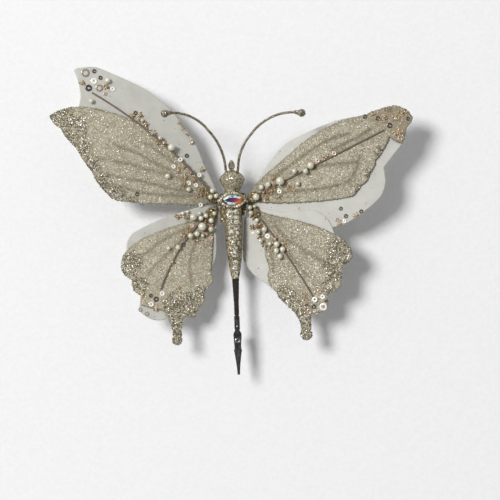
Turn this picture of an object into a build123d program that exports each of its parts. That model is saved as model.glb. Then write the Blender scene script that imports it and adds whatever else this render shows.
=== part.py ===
"""Clip-on butterfly ornament: glitter and organza wings on wire roots, moulded body, taped stem and clip.

It lies on its flat back: X to the right, Y towards the head, Z up from the table. Millimetres.
"""

import os
from math import acos, asin, cos, degrees, radians, sin, sqrt

from build123d import *

os.makedirs("parts", exist_ok=True)

# Wing roots and the arched surface that every wing follows
HINGE_X = 8.0
HINGE_Z = 3.4
WING_RADIUS = 600.0
ROOT_SLOPE = 14.0
PANEL = 0.3
LAYER_GAP = 0.3
RIB_RADIUS = 0.6
RIB_GAP = 0.15
LEG_CLEARANCE = 0.05
BEAD_GAP = 0.05
CAP_TOP = 0.7

# Body moulding: heights, then places along it from head to tail and half widths there
AXIS_Z = 6.5
BACK_Z = 1.2
GEM_SEAT_Z = 12.0
BODY_TOP = 21.6
HEAD_Y = 15.0
HEAD_HALF = 9.2
NECK_Y = 8.2
NECK_HALF = 5.8
SHOULDER_Y = 5.4
SHOULDER_HALF = 6.4
THORAX_HALF = 6.8
WAIST_Y = -6.0
WAIST_HALF = 6.0
BELLY_Y = -20.0
BELLY_HALF = 6.35
TAPER_Y = -43.5
TAPER_HALF = 4.8
TAIL_Y = -56.4
TAIL_HALF = 2.4

# Setting on the thorax, and the antennae
BEZEL_LENGTH = 20.6
BEZEL_WIDTH = 11.4
BEZEL_HEIGHT = 1.9
GEM_LENGTH = 16.2
GEM_WIDTH = 7.8
ANTENNA_RADIUS = 0.9
ANTENNA_RISE = 33.0
KNOB_RADIUS = 2.7
KNOB_FLARE = 3.5

# Back block that carries the wing wires
BLOCK_HALF_WIDTH = 9.6
BLOCK_FRONT = 5.0
BLOCK_REAR = -11.0
BLOCK_CORNER = 2.0
BLOCK_TOP = 5.2
GLUE_RUN_REAR = -15.5
GLUE_RUN_WIDTH = 6.0
STRIP_WIDTH = 6.4
NOTCH_DEPTH = 3.0
NOTCH_FRONT = 1.9
NOTCH_REAR = -3.9

# Stem and clip
STEM_THICKNESS = 2.4
STEM_TOP_WIDTH = 5.2
STEM_END_WIDTH = 3.6
STEM_TONGUE_WIDTH = 2.8
STEM_JOINT_Y = -57.9
STEM_STEP_Y = -82.5
STEM_END_Y = -96.0
CORE_WIRE_RADIUS = 0.42
CLIP_REAR_Y = -83.0
CRIMP_END_Y = -92.0
CLIP_NOSE_Y = -125.0
NOSE_HALF = 0.9
JAW_HALF_WIDTH = 2.7
CLIP_SHEET = 0.5
CLIP_FIT = 0.05
PIVOT_Y = -108.0
PIVOT_Z = 5.4
PIN_RADIUS = 0.7
LEVER_REAR_Y = -94.5
LEVER_REAR_Z = 0.7
LEVER_NOSE_Z = 6.6
SPRING_WIRE = 0.18
SPRING_RADIUS = 1.12
SPRING_PITCH = 0.8

# Heights of the layers over the arch that runs through the hinge
GLITTER_LIFT = -RIB_RADIUS - RIB_GAP - PANEL
HIND_SHEER_LIFT = GLITTER_LIFT - LAYER_GAP - PANEL
FORE_SHEER_LIFT = HIND_SHEER_LIFT - LAYER_GAP - PANEL

# Panel outlines run clockwise seen from above: x, y, and how far the edge to the next point bows outwards
LEFT_FORE_GLITTER = [
    (-10.9, -1.4, 0.0), (-22, -3.4, 0.0), (-45, -2.0, 0.3), (-82, 1.5, 0.6), (-89, 6.8, 0.3),
    (-96, 15, 0.4), (-99.3, 22.6, 0.2), (-105, 31, 0.3), (-109.7, 39.8, 0.3), (-117, 48, 0.2),
    (-120.4, 54.4, 0.0), (-124.3, 57, 0.2), (-128, 62.5, 0.9), (-126.5, 65.5, 1.4), (-108, 70.5, 1.0),
    (-81, 64.7, 0.4), (-60, 55, 0.0), (-48, 43, 0.0), (-33, 28.8, 0.2), (-16, 10.2, 0.0),
    (-10.9, 4.6, 0.0),
]
LEFT_FORE_SHEER = [
    (-10.9, -2.6, 0.0), (-20, -3.8, 0.0), (-37, -2.4, 0.0), (-62, 6, 1.0), (-86, 24, 3.0), (-99, 44, 1.0),
    (-103, 58, 0.0), (-107.2, 71, -0.8), (-106, 82, -0.6), (-109.7, 96, 0.6), (-105, 97.7, 0.8),
    (-92, 97.3, 0.4), (-59, 81.2, 0.8), (-40, 63.5, 0.4), (-27.5, 45.5, 0.6), (-20, 26.5, 0.2),
    (-10.9, 6.2, 0.0),
]
RIGHT_FORE_GLITTER = [
    (10.9, 3.6, 1.3), (29, 22, 0.0), (44, 34, 1.9), (80, 54.5, 0.3), (95, 57.2, 0.7), (117, 63.4, 2.3),
    (130.4, 54, 0.8), (126, 47.3, 0.4), (122.4, 35.5, 1.1), (113, 40.6, 0.3), (111, 35.5, 0.0),
    (106, 27.6, 0.3), (102.7, 24.7, 0.3), (102, 20.6, 0.2), (98, 14.3, 0.2), (96.7, 10.5, 0.4),
    (91.7, 6.7, 0.2), (87, 0.3, 0.4), (83.4, -1.2, 0.3), (60, -3.5, 0.2), (32, -3.8, 0.0),
    (16, -2.0, 0.0), (10.9, -1.4, 0.0),
]
RIGHT_FORE_SHEER = [
    (10.9, 3.2, 0.0), (15.8, 9.8, 0.3), (30.4, 30.7, 0.9), (44.3, 42, 0.4), (74.7, 54, 0.2),
    (98, 57.4, 0.4), (118, 55, 1.6), (122, 42, 0.4), (120.8, 34.2, 0.0), (108.4, 19.4, 0.0),
    (109.3, 11, 1.3), (104.3, -2.8, 0.6), (86.6, -16, 0.7), (76, -20.6, 0.3), (68, -22.5, 0.0),
    (44, -18, 0.0), (22, -8, 0.0), (10.9, -2.6, 0.0),
]
LEFT_HIND_GLITTER = [
    (-10.9, -12.4, 0.0), (-14.6, -20, 0.3), (-15.2, -36, 0.2), (-17, -49, 0.2), (-16, -57, 0.4),
    (-19, -61.5, 0.2), (-22, -64, 0.0), (-22.6, -67, 0.0), (-22.2, -71, 0.6), (-27, -77, 0.2),
    (-28.8, -80, 0.8), (-31, -83.6, 0.2), (-36, -82.3, 0.1), (-38.2, -84, 0.0), (-39.4, -93.5, 0.0),
    (-39.2, -97, 6.2), (-46.6, -96, 0.0), (-46.4, -92, 0.0), (-49.5, -83, 0.2), (-52, -78, 0.2),
    (-68.4, -73, 0.3), (-68.3, -66.5, 0.0), (-73, -62.5, 0.5), (-74.2, -54.6, 0.2), (-78.5, -51.8, 0.9),
    (-81.4, -44.5, 1.2), (-77, -33, 0.8), (-60, -22.5, 0.6), (-28, -13.0, 0.0), (-17, -8.2, 0.0),
    (-10.9, -4.2, 0.0),
]
LEFT_HIND_SHEER = [
    (-11.2, -13, 0.0), (-12.6, -20, 0.2), (-13, -38, 0.4), (-16, -46, 1.0), (-22, -60, 1.0),
    (-36, -74, 1.0), (-52, -83.8, 0.6), (-60, -83.5, 0.9), (-70, -76, 0.0), (-68, -69, -1.0),
    (-70, -52, 0.0), (-77, -31.5, 1.2), (-72, -21, 0.6), (-48, -10.5, 0.2), (-24, -3.9, 0.0),
    (-11.2, -3.6, 0.0),
]
RIGHT_HIND_GLITTER = [
    (11.0, -4.2, 0.0), (25, -10.4, 0.2), (55, -18.5, 0.5), (76, -29, 1.3), (84.3, -41, 0.9),
    (81, -47.8, 0.2), (76.8, -49.6, 0.0), (75.7, -62, 0.9), (71.5, -67, 0.1), (67.5, -68, -0.3),
    (65.6, -72, 0.0), (66.2, -75.5, 0.3), (64, -80, 0.8), (58, -83, 0.0), (53.8, -83.4, 0.0),
    (53, -94.9, 7.3), (45.5, -95, 0.0), (45, -90, -0.2), (41, -82, 0.0), (30, -71, 0.2), (29, -67, 0.3),
    (24, -62, 0.6), (23, -53, -0.1), (24, -49.5, 0.0), (21.6, -41, 0.1), (21.6, -32, 0.0),
    (16, -16, 0.0), (11.0, -10.6, 0.0),
]
RIGHT_HIND_SHEER = [
    (11.2, -3.8, 0.0), (37, -10.5, 0.9), (58, -9.6, 1.0), (68, -17, 1.5), (72, -36, 2.0), (60, -58, 2.5),
    (45, -67, 1.5), (22, -60.5, 2.2), (6.2, -43, 0.3), (6.4, -28, 0.0), (8, -13.4, 0.0),
    (11.2, -12.4, 0.0),
]

# Each wing: panels, rib wire (leg from and to, first bend, heading off the outward line, tip), root cap.
# Pearls, sequins and seed beads are x, y, diameter where they sit on the wing.
WINGS = {
    "left_forewing": {
        "side": -1,
        "glitter": LEFT_FORE_GLITTER,
        "sheer": LEFT_FORE_SHEER,
        "sheer_lift": FORE_SHEER_LIFT,
        "leg": (4.4, 0.6),
        "bend": (11.5, 0.8),
        "heading": 52.0,
        "tip": (-97.4, 79.7),
        "cap": (-14.9, 3.2, 5.4, 3.6),
        "pearls": [
            (-43, 39, 5), (-46, 18.7, 4), (-31.5, 8.7, 3.5), (-15, 7.2, 3.5), (-16.4, 2.8, 3.7),
            (-12.4, 3.4, 3.6), (-50.5, 46, 2.8), (-62.5, 59, 2.6), (-98, 73.7, 3.4), (-86, 88, 3.8),
        ],
        "pale_sequins": [
            (-101.5, 94, 5.8), (-92, 83, 5.0), (-95.5, 88, 4.6), (-82.5, 82, 3.4), (-36.5, 30.2, 3.2),
            (-41.3, 25.5, 3.2), (-23.5, 18.8, 3.2), (-30.8, 13.3, 3.2), (-25.8, 11.7, 3.2),
            (-23, -2.6, 3.2),
        ],
        "dark_sequins": [
            (-95.2, 95, 3.0), (-91.0, 90.2, 3.0), (-99.6, 83.2, 4.8), (-87.8, 78.5, 2.5),
            (-67, 64.5, 3.0), (-31.5, 33, 3.0), (-30.2, 20.8, 2.8), (-68, 6.5, 3.0), (-26.5, 3, 2.8),
        ],
        "seed_beads": [
            (-70, 62.6, 2.2), (-63.8, 62.6, 2.2), (-65.4, 59.6, 2.2), (-60.6, 56.4, 2.2),
            (-56, 49.6, 2.6), (-52.5, 42.4, 2.2), (-48, 42.4, 2.2), (-36, 57, 2.0), (-33.2, 53.2, 2.0),
            (-30.6, 49.6, 2.0), (-27.6, 42.5, 2.0), (-38.2, 22.6, 2.0), (-34.4, 24.8, 2.0),
            (-33.2, 17.6, 2.0), (-27, 15.4, 2.0), (-21.8, 8, 2.2), (-34.6, 12, 2.0), (-22.6, 4.6, 2.0),
            (-87, 83.6, 2.2), (-104, 87, 2.4), (-21.2, 22.6, 2.0),
        ],
    },
    "right_forewing": {
        "side": 1,
        "glitter": RIGHT_FORE_GLITTER,
        "sheer": RIGHT_FORE_SHEER,
        "sheer_lift": FORE_SHEER_LIFT,
        "leg": (4.4, 0.6),
        "bend": (11.5, 0.8),
        "heading": 24.5,
        "tip": (109, 45.8),
        "cap": (15.2, 1.6, 4.7, 3.2),
        "pearls": [
            (35, 12.3, 6), (17.5, 1.7, 5), (21, 8.5, 3.7), (26, 10.3, 4), (45, 19, 4), (53, 18.6, 4),
            (56.8, 22.6, 5), (47, 10, 3.3),
        ],
        "pale_sequins": [
            (33.5, 5, 3.3), (73.5, 30.6, 3.2), (61.6, 26, 3.2), (79, -18, 2.8), (126.4, 57.4, 3.0),
        ],
        "dark_sequins": [
            (96, 56, 3.2), (105, 54.3, 3.4), (113.3, 48.9, 4.0), (121, 45.2, 4.0), (126.4, 53.2, 3.0),
            (120.6, 39.4, 4.0), (76.5, -8.8, 2.8), (91, -11.4, 3.0), (80, -14.3, 3.0), (73.6, -16.8, 2.8),
        ],
        "seed_beads": [
            (22.6, 4.8, 2.2), (25.4, 4.4, 2.2), (28.2, 5.8, 2.2), (30.4, 8.2, 2.0), (33, 1.6, 2.0),
            (40, 8, 2.2), (44, 5, 2.2), (24.4, 0.6, 2.0), (29.4, 14.6, 2.0), (67.5, 28.3, 2.2),
            (109, 53.6, 2.4), (101, 57.4, 2.2), (117.6, 54, 2.4), (122.2, 57.4, 2.4),
            (116.8, 42.4, 2.2), (87.2, -14, 2.0), (75.6, -19.4, 2.0),
        ],
    },
    "left_hindwing": {
        "side": -1,
        "glitter": LEFT_HIND_GLITTER,
        "sheer": LEFT_HIND_SHEER,
        "sheer_lift": HIND_SHEER_LIFT,
        "leg": (-10.2, -2.2),
        "bend": (11.5, -3.0),
        "heading": -42.0,
        "tip": (-53.5, -62),
        "cap": (-15.3, -8.6, 5.4, 3.8),
        "pearls": [
            (-29, -11.2, 5), (-23.6, -12.2, 3.6), (-23, -18.2, 6), (-16.5, -14, 3.8), (-16.6, -20.2, 4),
            (-26.6, -23.2, 4), (-31.5, -24.5, 4), (-22.6, -24.6, 2.8), (-40.5, -32.5, 3.7),
            (-47, -32.8, 2.8), (-36, -8.2, 2.6), (-32.6, -7.2, 2.5), (-24, -8.6, 2.8),
            (-20, -10.4, 3.4), (-14, -9, 3.2),
        ],
        "pale_sequins": [
            (-52.5, -65, 3.7), (-60.5, -72.3, 3.7), (-68.4, -76, 2.8), (-63.8, -79, 3.0),
            (-16.4, -26.4, 3.0), (-29.6, -17.2, 3.0),
        ],
        "dark_sequins": [
            (-57, -68.8, 3.8), (-60.8, -66.2, 2.8), (-37, -30.6, 2.6), (-21, -31.7, 3.0),
            (-16.9, -31.4, 2.8),
        ],
        "seed_beads": [
            (-39.8, -10.4, 2.2), (-33.4, -11.6, 2.2), (-45, -42.5, 2.2), (-67, -65, 2.2),
            (-57.4, -75.6, 2.2), (-41, -61.5, 2.2), (-31.5, -20.8, 2.0), (-19.8, -14.4, 2.0),
            (-19.6, -23.4, 2.0), (-35.6, -24.4, 2.0), (-26.4, -28, 2.0), (-15.2, -17.2, 1.8),
        ],
    },
    "right_hindwing": {
        "side": 1,
        "glitter": RIGHT_HIND_GLITTER,
        "sheer": RIGHT_HIND_SHEER,
        "sheer_lift": HIND_SHEER_LIFT,
        "leg": (-10.2, -2.2),
        "bend": (11.5, -3.0),
        "heading": -54.0,
        "tip": (55, -71),
        "cap": (14.7, -8.2, 5.0, 3.6),
        "pearls": [
            (12.6, -5.6, 3.4), (13.2, -9.6, 3.6), (16, -4.9, 2.5), (17.6, -23.4, 3.6), (22.3, -21.6, 4),
            (19, -29.8, 3.7), (25.6, -32.2, 3), (30.8, -32.6, 4.2), (30.2, -37.3, 4), (34.9, -36.3, 4),
            (32.6, -41.3, 4), (17, -15, 3.4),
        ],
        "pale_sequins": [
            (24, -26.6, 3.6), (56.2, -73, 4.0), (61.8, -78.4, 5.4), (57, -82.4, 3.2), (61.6, -71.2, 3.4),
        ],
        "dark_sequins": [(55, -78, 3.5), (59.4, -67.2, 3.4), (51.8, -81.4, 4.0), (64, -74.4, 2.4)],
        "seed_beads": [
            (14.8, -13.2, 2.0), (13.4, -19.8, 2.2), (16.4, -19.6, 2.2), (19.2, -18.6, 2.2),
            (18.5, -26.6, 2.0), (30, -28.4, 2.2), (36, -32.5, 2.2), (38.3, -37.2, 2.0), (49, -75, 2.2),
            (48.6, -70.4, 2.2), (22.4, -33.6, 2.0), (26.6, -37.2, 2.0),
        ],
    },
}

ARCH_X = HINGE_X + WING_RADIUS * sin(radians(ROOT_SLOPE))
ARCH_Z = HINGE_Z - WING_RADIUS * cos(radians(ROOT_SLOPE))
ARCH_INNER_X = 4.0
ARCH_OUTER_X = 138.0


def arch_z(x, lift=0.0):
    """Height of the wing surface at x, lifted along its normal."""
    return ARCH_Z + sqrt((WING_RADIUS + lift) ** 2 - (abs(x) - ARCH_X) ** 2)


def seat(x, y, lift):
    """Plane lying on the wing surface at x, y."""
    side = 1 if x > 0 else -1
    tilt = asin((ARCH_X - abs(x)) / WING_RADIUS)
    foot_x = x - side * sin(tilt) * lift
    foot_z = arch_z(x) + cos(tilt) * lift
    return Plane(origin=(foot_x, y, foot_z), x_dir=(0, 1, 0), z_dir=(-side * sin(tilt), 0, cos(tilt)))


def draw_outline(points):
    """Closed chain of arcs and lines through the outline's points."""
    for here, there in zip(points, points[1:] + points[:1]):
        if here[2] == 0.0:
            Line(here[:2], there[:2])
        else:
            SagittaArc(here[:2], there[:2], here[2])


def draw_band(side, low, high):
    """Cross-section of the arched sheet between two lifts, on the XZ plane."""
    start = degrees(acos((ARCH_OUTER_X - ARCH_X) / WING_RADIUS))
    sweep_angle = degrees(acos((ARCH_INNER_X - ARCH_X) / WING_RADIUS)) - start
    if side < 0:
        start = 180.0 - start - sweep_angle
    centre = (side * ARCH_X, ARCH_Z)
    CenterArc(centre, WING_RADIUS + high, start, sweep_angle)
    CenterArc(centre, WING_RADIUS + low, start, sweep_angle)
    for end in (start, start + sweep_angle):
        reach = (cos(radians(end)), sin(radians(end)))
        inner = (centre[0] + (WING_RADIUS + low) * reach[0], centre[1] + (WING_RADIUS + low) * reach[1])
        outer = (centre[0] + (WING_RADIUS + high) * reach[0], centre[1] + (WING_RADIUS + high) * reach[1])
        Line(inner, outer)


def save(builder, label):
    """Label a node and write its STEP file."""
    builder.part.label = label
    export_step(builder.part, f"parts/{label}.step")


def rib_points(wing):
    """Leg end, leg corner, bend and start of the free rib, on the arch through the hinge."""
    side = wing["side"]
    leg_end, leg_corner = wing["leg"]
    bend_x, bend_y = wing["bend"]
    run = 6.5
    free_x = bend_x + run * cos(radians(wing["heading"]))
    free_y = bend_y + run * sin(radians(wing["heading"]))
    plan = [(HINGE_X, leg_end), (HINGE_X, leg_corner), (bend_x, bend_y), (free_x, free_y)]
    return [(side * x, y, arch_z(x)) for x, y in plan]


for name, wing in WINGS.items():
    side = wing["side"]

    # Glitter fabric panel
    with BuildPart() as glitter_panel:
        with BuildSketch() as glitter_outline:
            with BuildLine():
                draw_outline(wing["glitter"])
            make_face()
        extrude(amount=60)
        with BuildSketch(Plane.XZ):
            with BuildLine():
                draw_band(side, GLITTER_LIFT, GLITTER_LIFT + PANEL)
            make_face()
        extrude(amount=150, both=True, mode=Mode.INTERSECT)
    save(glitter_panel, f"{name}_glitter_panel")

    # Sheer organza panel below it
    with BuildPart() as sheer_panel:
        with BuildSketch() as sheer_outline:
            with BuildLine():
                draw_outline(wing["sheer"])
            make_face()
        extrude(amount=60)
        with BuildSketch(Plane.XZ):
            with BuildLine():
                draw_band(side, wing["sheer_lift"], wing["sheer_lift"] + PANEL)
            make_face()
        extrude(amount=150, both=True, mode=Mode.INTERSECT)
    save(sheer_panel, f"{name}_sheer_panel")

    # Paper-covered rib wire: its bent leg turns in the back block, the rest lies on the panel
    corners = rib_points(wing)
    tip_x, tip_y = wing["tip"]
    run_x = corners[3][0] - corners[2][0]
    run_y = corners[3][1] - corners[2][1]
    rib_plan = TangentArc(corners[3][:2], (tip_x, tip_y), tangent=(run_x, run_y))
    middle = rib_plan @ 0.5
    with BuildPart() as rib_wire:
        with BuildLine() as rib_path:
            root = FilletPolyline(corners, radius=(1.3, 2.0))
            inner = TangentArc(root @ 1, (middle.X, middle.Y, arch_z(middle.X)), tangent=root % 1)
            TangentArc(inner @ 1, (tip_x, tip_y, arch_z(tip_x)), tangent=inner % 1)
        with BuildSketch(Plane(origin=root @ 0, z_dir=root % 0)):
            Circle(RIB_RADIUS)
        sweep(path=rib_path.wires()[0])
    save(rib_wire, f"{name}_rib_wire")

    # Lump of glitter glue over the root, poured round the wire
    cap_x, cap_y, cap_long, cap_short = wing["cap"]
    with BuildPart() as root_cap:
        with BuildSketch() as cap_outline:
            with Locations((cap_x, cap_y)):
                Ellipse(cap_long, cap_short, rotation=side * wing["heading"])
        extrude(amount=60)
        with BuildSketch(Plane.XZ):
            with BuildLine():
                draw_band(side, GLITTER_LIFT + PANEL + 0.02, CAP_TOP)
            make_face()
        extrude(amount=150, both=True, mode=Mode.INTERSECT)
        add(rib_wire.part, mode=Mode.SUBTRACT)
    save(root_cap, f"{name}_root_cap")

    faces = [
        (cap_outline.sketch, CAP_TOP),
        (glitter_outline.sketch, GLITTER_LIFT + PANEL),
        (sheer_outline.sketch, wing["sheer_lift"] + PANEL),
    ]

    def layer_top(x, y, radius):
        """Top of the highest layer of the wing under a bead."""
        point = Vector(x, y, 0)
        return max(top for face, top in faces if face.distance_to(point) < radius)

    def bead_centre(x, y, radius):
        """Height of a round bead's centre: on the layer under it, or leaning on the rib wire."""
        on_layer = layer_top(x, y, radius) + BEAD_GAP + radius
        aside = rib_plan.distance_to(Vector(x, y, 0))
        reach = radius + RIB_RADIUS + BEAD_GAP
        return max(on_layer, sqrt(max(reach**2 - aside**2, 0.0)))

    def sequin_foot(x, y, radius):
        """Height of a sequin's underside: on the layer under it, or on the rib wire."""
        over_rib = rib_plan.distance_to(Vector(x, y, 0)) < radius + RIB_RADIUS + 0.1
        on_layer = layer_top(x, y, radius)
        return BEAD_GAP + (max(on_layer, RIB_RADIUS) if over_rib else on_layer)

    # Pearls and seed beads are round; sequins are thin rings
    for kind in ("pearls", "seed_beads"):
        with BuildPart() as beads:
            for x, y, diameter in wing[kind]:
                with Locations(seat(x, y, bead_centre(x, y, diameter / 2))):
                    Sphere(diameter / 2)
        save(beads, f"{name}_{kind}")
    for kind in ("pale_sequins", "dark_sequins"):
        with BuildPart() as sequins:
            for x, y, diameter in wing[kind]:
                with BuildSketch(seat(x, y, sequin_foot(x, y, diameter / 2))):
                    Circle(diameter / 2)
                    Circle(diameter * 0.16, mode=Mode.SUBTRACT)
                extrude(amount=0.3)
        save(sequins, f"{name}_{kind}")

# Head finial: drop with a stub that sits in the head
with BuildPart() as head_finial:
    with BuildSketch(Plane.XY.offset(AXIS_Z)):
        with BuildLine():
            Line((0, BODY_TOP - 2.0), (1.1, BODY_TOP - 2.0))
            Line((1.1, BODY_TOP - 2.0), (1.1, BODY_TOP))
            Bezier((1.1, BODY_TOP), (3.3, BODY_TOP + 2.4), (2.2, BODY_TOP + 5.6), (0.4, BODY_TOP + 7.2))
            Line((0.4, BODY_TOP + 7.2), (0, BODY_TOP + 7.2))
            Line((0, BODY_TOP + 7.2), (0, BODY_TOP - 2.0))
        make_face()
    revolve(axis=Axis((0, 0, AXIS_Z), (0, 1, 0)))
save(head_finial, "head_finial")

# Antennae: glitter-coated wire in a plane that rises from the head, each with a knob
ANTENNA_BASE_Y = 18.0
ANTENNA_BASE_Z = 9.2
rise = radians(ANTENNA_RISE)
ANTENNAE = {
    "left_antenna": ((-3.6, 0.0), (-4.3, 5.0), (-15.2, 37.0), (-43.1, 52.4)),
    "right_antenna": ((3.8, 0.0), (4.6, 5.0), (14.4, 32.6), (48.5, 49.2)),
}
antenna_plane = Plane(
    origin=(0, ANTENNA_BASE_Y, ANTENNA_BASE_Z), x_dir=(1, 0, 0), z_dir=(0, -sin(rise), cos(rise))
)
antenna_solids = []
for name, (base, exit_point, middle, end) in ANTENNAE.items():
    with BuildPart() as antenna:
        with BuildLine(antenna_plane) as antenna_path:
            straight = Line(base, exit_point)
            local = (exit_point[0] - base[0], exit_point[1] - base[1])
            first = TangentArc(exit_point, middle, tangent=local)
            heading = antenna_plane.to_local_coords(first % 1 + antenna_plane.origin)
            second = TangentArc(middle, end, tangent=heading)
        with BuildSketch(Plane(origin=straight @ 0, z_dir=straight % 0)):
            Circle(ANTENNA_RADIUS)
        sweep(path=antenna_path.wires()[0])
        with Locations(second @ 1 + (second % 1) * (KNOB_RADIUS * 0.9)):
            Sphere(KNOB_RADIUS)
        with BuildSketch(Plane(origin=second @ 1 - (second % 1) * KNOB_FLARE, z_dir=second % 1)):
            Circle(ANTENNA_RADIUS * 1.05)
        with BuildSketch(Plane(origin=second @ 1 + (second % 1) * 1.2, z_dir=second % 1)):
            Circle(KNOB_RADIUS * 0.8)
        loft()
    antenna_solids.append(antenna.part)
    save(antenna, name)


def draw_marquise(length, width):
    """Pointed oval from two arcs."""
    ThreePointArc((-length / 2, 0), (0, -width / 2), (length / 2, 0))
    ThreePointArc((length / 2, 0), (0, width / 2), (-length / 2, 0))


# Marquise bezel and its crystal
with BuildPart() as gem_bezel:
    with BuildSketch(Plane.XY.offset(GEM_SEAT_Z)):
        with BuildLine():
            draw_marquise(BEZEL_LENGTH, BEZEL_WIDTH)
        make_face()
    extrude(amount=BEZEL_HEIGHT, taper=14)
    with BuildSketch(Plane.XY.offset(GEM_SEAT_Z)):
        with BuildLine():
            draw_marquise(GEM_LENGTH + 0.1, GEM_WIDTH + 0.1)
        make_face()
    extrude(amount=BEZEL_HEIGHT + 1, mode=Mode.SUBTRACT)
save(gem_bezel, "gem_bezel")

with BuildPart() as thorax_gem:
    with BuildSketch(Plane.XY.offset(GEM_SEAT_Z + 0.03)):
        with BuildLine():
            draw_marquise(GEM_LENGTH, GEM_WIDTH)
        make_face()
    extrude(amount=1.3)
    with BuildSketch(Plane.XY.offset(GEM_SEAT_Z + 1.33)):
        with BuildLine():
            draw_marquise(GEM_LENGTH, GEM_WIDTH)
        make_face()
    extrude(amount=1.5, taper=42)
save(thorax_gem, "thorax_gem")

# Core wires that run from the thorax to the tail inside the moulding
with BuildPart() as body_wires:
    with BuildSketch(Plane.XZ.offset(-4.0)):
        with Locations((0, AXIS_Z)):
            with PolarLocations(CORE_WIRE_RADIUS * 1.25, 3):
                Circle(CORE_WIRE_RADIUS)
    extrude(amount=4.0 - TAIL_Y - 0.2)
save(body_wires, "body_core_wires")

# Back block: carries the legs of the four wing wires, flat underneath
with BuildPart() as back_block:
    with BuildSketch():
        with Locations((0, (BLOCK_FRONT + BLOCK_REAR) / 2)):
            RectangleRounded(2 * BLOCK_HALF_WIDTH, BLOCK_FRONT - BLOCK_REAR, BLOCK_CORNER)
        with Locations((0, (BODY_TOP + TAIL_Y) / 2 + 1.0)):
            SlotOverall(BODY_TOP - TAIL_Y - 8.0, STRIP_WIDTH, rotation=90)
    extrude(amount=BACK_Z)
    with BuildSketch(Plane.XY.offset(BACK_Z)):
        with Locations((0, (BLOCK_FRONT + BLOCK_REAR) / 2)):
            RectangleRounded(2 * BLOCK_HALF_WIDTH, BLOCK_FRONT - BLOCK_REAR, BLOCK_CORNER)
    extrude(amount=BLOCK_TOP - BACK_Z)
    with BuildSketch():
        with Locations(((GLUE_RUN_WIDTH / 2 - BLOCK_HALF_WIDTH), (NOTCH_REAR + GLUE_RUN_REAR) / 2)):
            RectangleRounded(GLUE_RUN_WIDTH, NOTCH_REAR - GLUE_RUN_REAR, BLOCK_CORNER)
    extrude(amount=BLOCK_TOP)
    for side in (-1, 1):
        with BuildSketch(Plane.XY.offset(BACK_Z)):
            with Locations((side * BLOCK_HALF_WIDTH, (NOTCH_FRONT + NOTCH_REAR) / 2)):
                Rectangle(2 * NOTCH_DEPTH, NOTCH_FRONT - NOTCH_REAR)
        extrude(amount=BLOCK_TOP - BACK_Z, mode=Mode.SUBTRACT)
        with BuildSketch(Plane.XZ.offset(-BLOCK_FRONT)):
            with Locations((side * HINGE_X, HINGE_Z)):
                Circle(RIB_RADIUS + LEG_CLEARANCE)
        extrude(amount=BLOCK_FRONT - GLUE_RUN_REAR, mode=Mode.SUBTRACT)
save(back_block, "back_block")

# Moulded body: a turned form cut flat at the back, with a flared thorax that takes the bezel
with BuildPart() as body_shell:
    with BuildSketch(Plane.XY.offset(AXIS_Z)):
        with BuildLine() as body_profile:
            SagittaArc((0, BODY_TOP), (HEAD_HALF, HEAD_Y), 1.6)
            SagittaArc((HEAD_HALF, HEAD_Y), (NECK_HALF, NECK_Y), 0.25)
            SagittaArc((NECK_HALF, NECK_Y), (SHOULDER_HALF, SHOULDER_Y), -0.5)
            ThreePointArc((SHOULDER_HALF, SHOULDER_Y), (THORAX_HALF, 0), (WAIST_HALF, WAIST_Y))
            belly = ThreePointArc((WAIST_HALF, WAIST_Y), (BELLY_HALF, BELLY_Y), (TAPER_HALF, TAPER_Y))
            taper = SagittaArc((TAPER_HALF, TAPER_Y), (TAIL_HALF, TAIL_Y), 0.2)
            Line((TAIL_HALF, TAIL_Y), (0, TAIL_Y))
            Line((0, TAIL_Y), (0, BODY_TOP))
        make_face()
    revolve(axis=Axis((0, 0, AXIS_Z), (0, 1, 0)))
    with BuildSketch(Plane.XY.offset(BLOCK_TOP)):
        with BuildLine():
            draw_marquise(2 * SHOULDER_HALF + 1.6, 2 * -WAIST_Y)
        make_face()
    with BuildSketch(Plane.XY.offset(GEM_SEAT_Z)):
        with BuildLine():
            draw_marquise(BEZEL_LENGTH, BEZEL_WIDTH)
        make_face()
    loft()
    with BuildSketch(Plane.XY.offset(GEM_SEAT_Z)):
        with BuildLine():
            draw_marquise(BEZEL_LENGTH + 1.0, BEZEL_WIDTH + 0.8)
        make_face()
    extrude(amount=20, mode=Mode.SUBTRACT)
    with BuildSketch(Plane.XY.offset(BACK_Z)):
        with Locations((0, (BODY_TOP + TAIL_Y) / 2)):
            Rectangle(60, BODY_TOP - TAIL_Y + 20)
    extrude(amount=-20, mode=Mode.SUBTRACT)
    add(back_block.part, mode=Mode.SUBTRACT)
    add(head_finial.part, mode=Mode.SUBTRACT)
    add(body_wires.part, mode=Mode.SUBTRACT)
    add(antenna_solids, mode=Mode.SUBTRACT)

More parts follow.
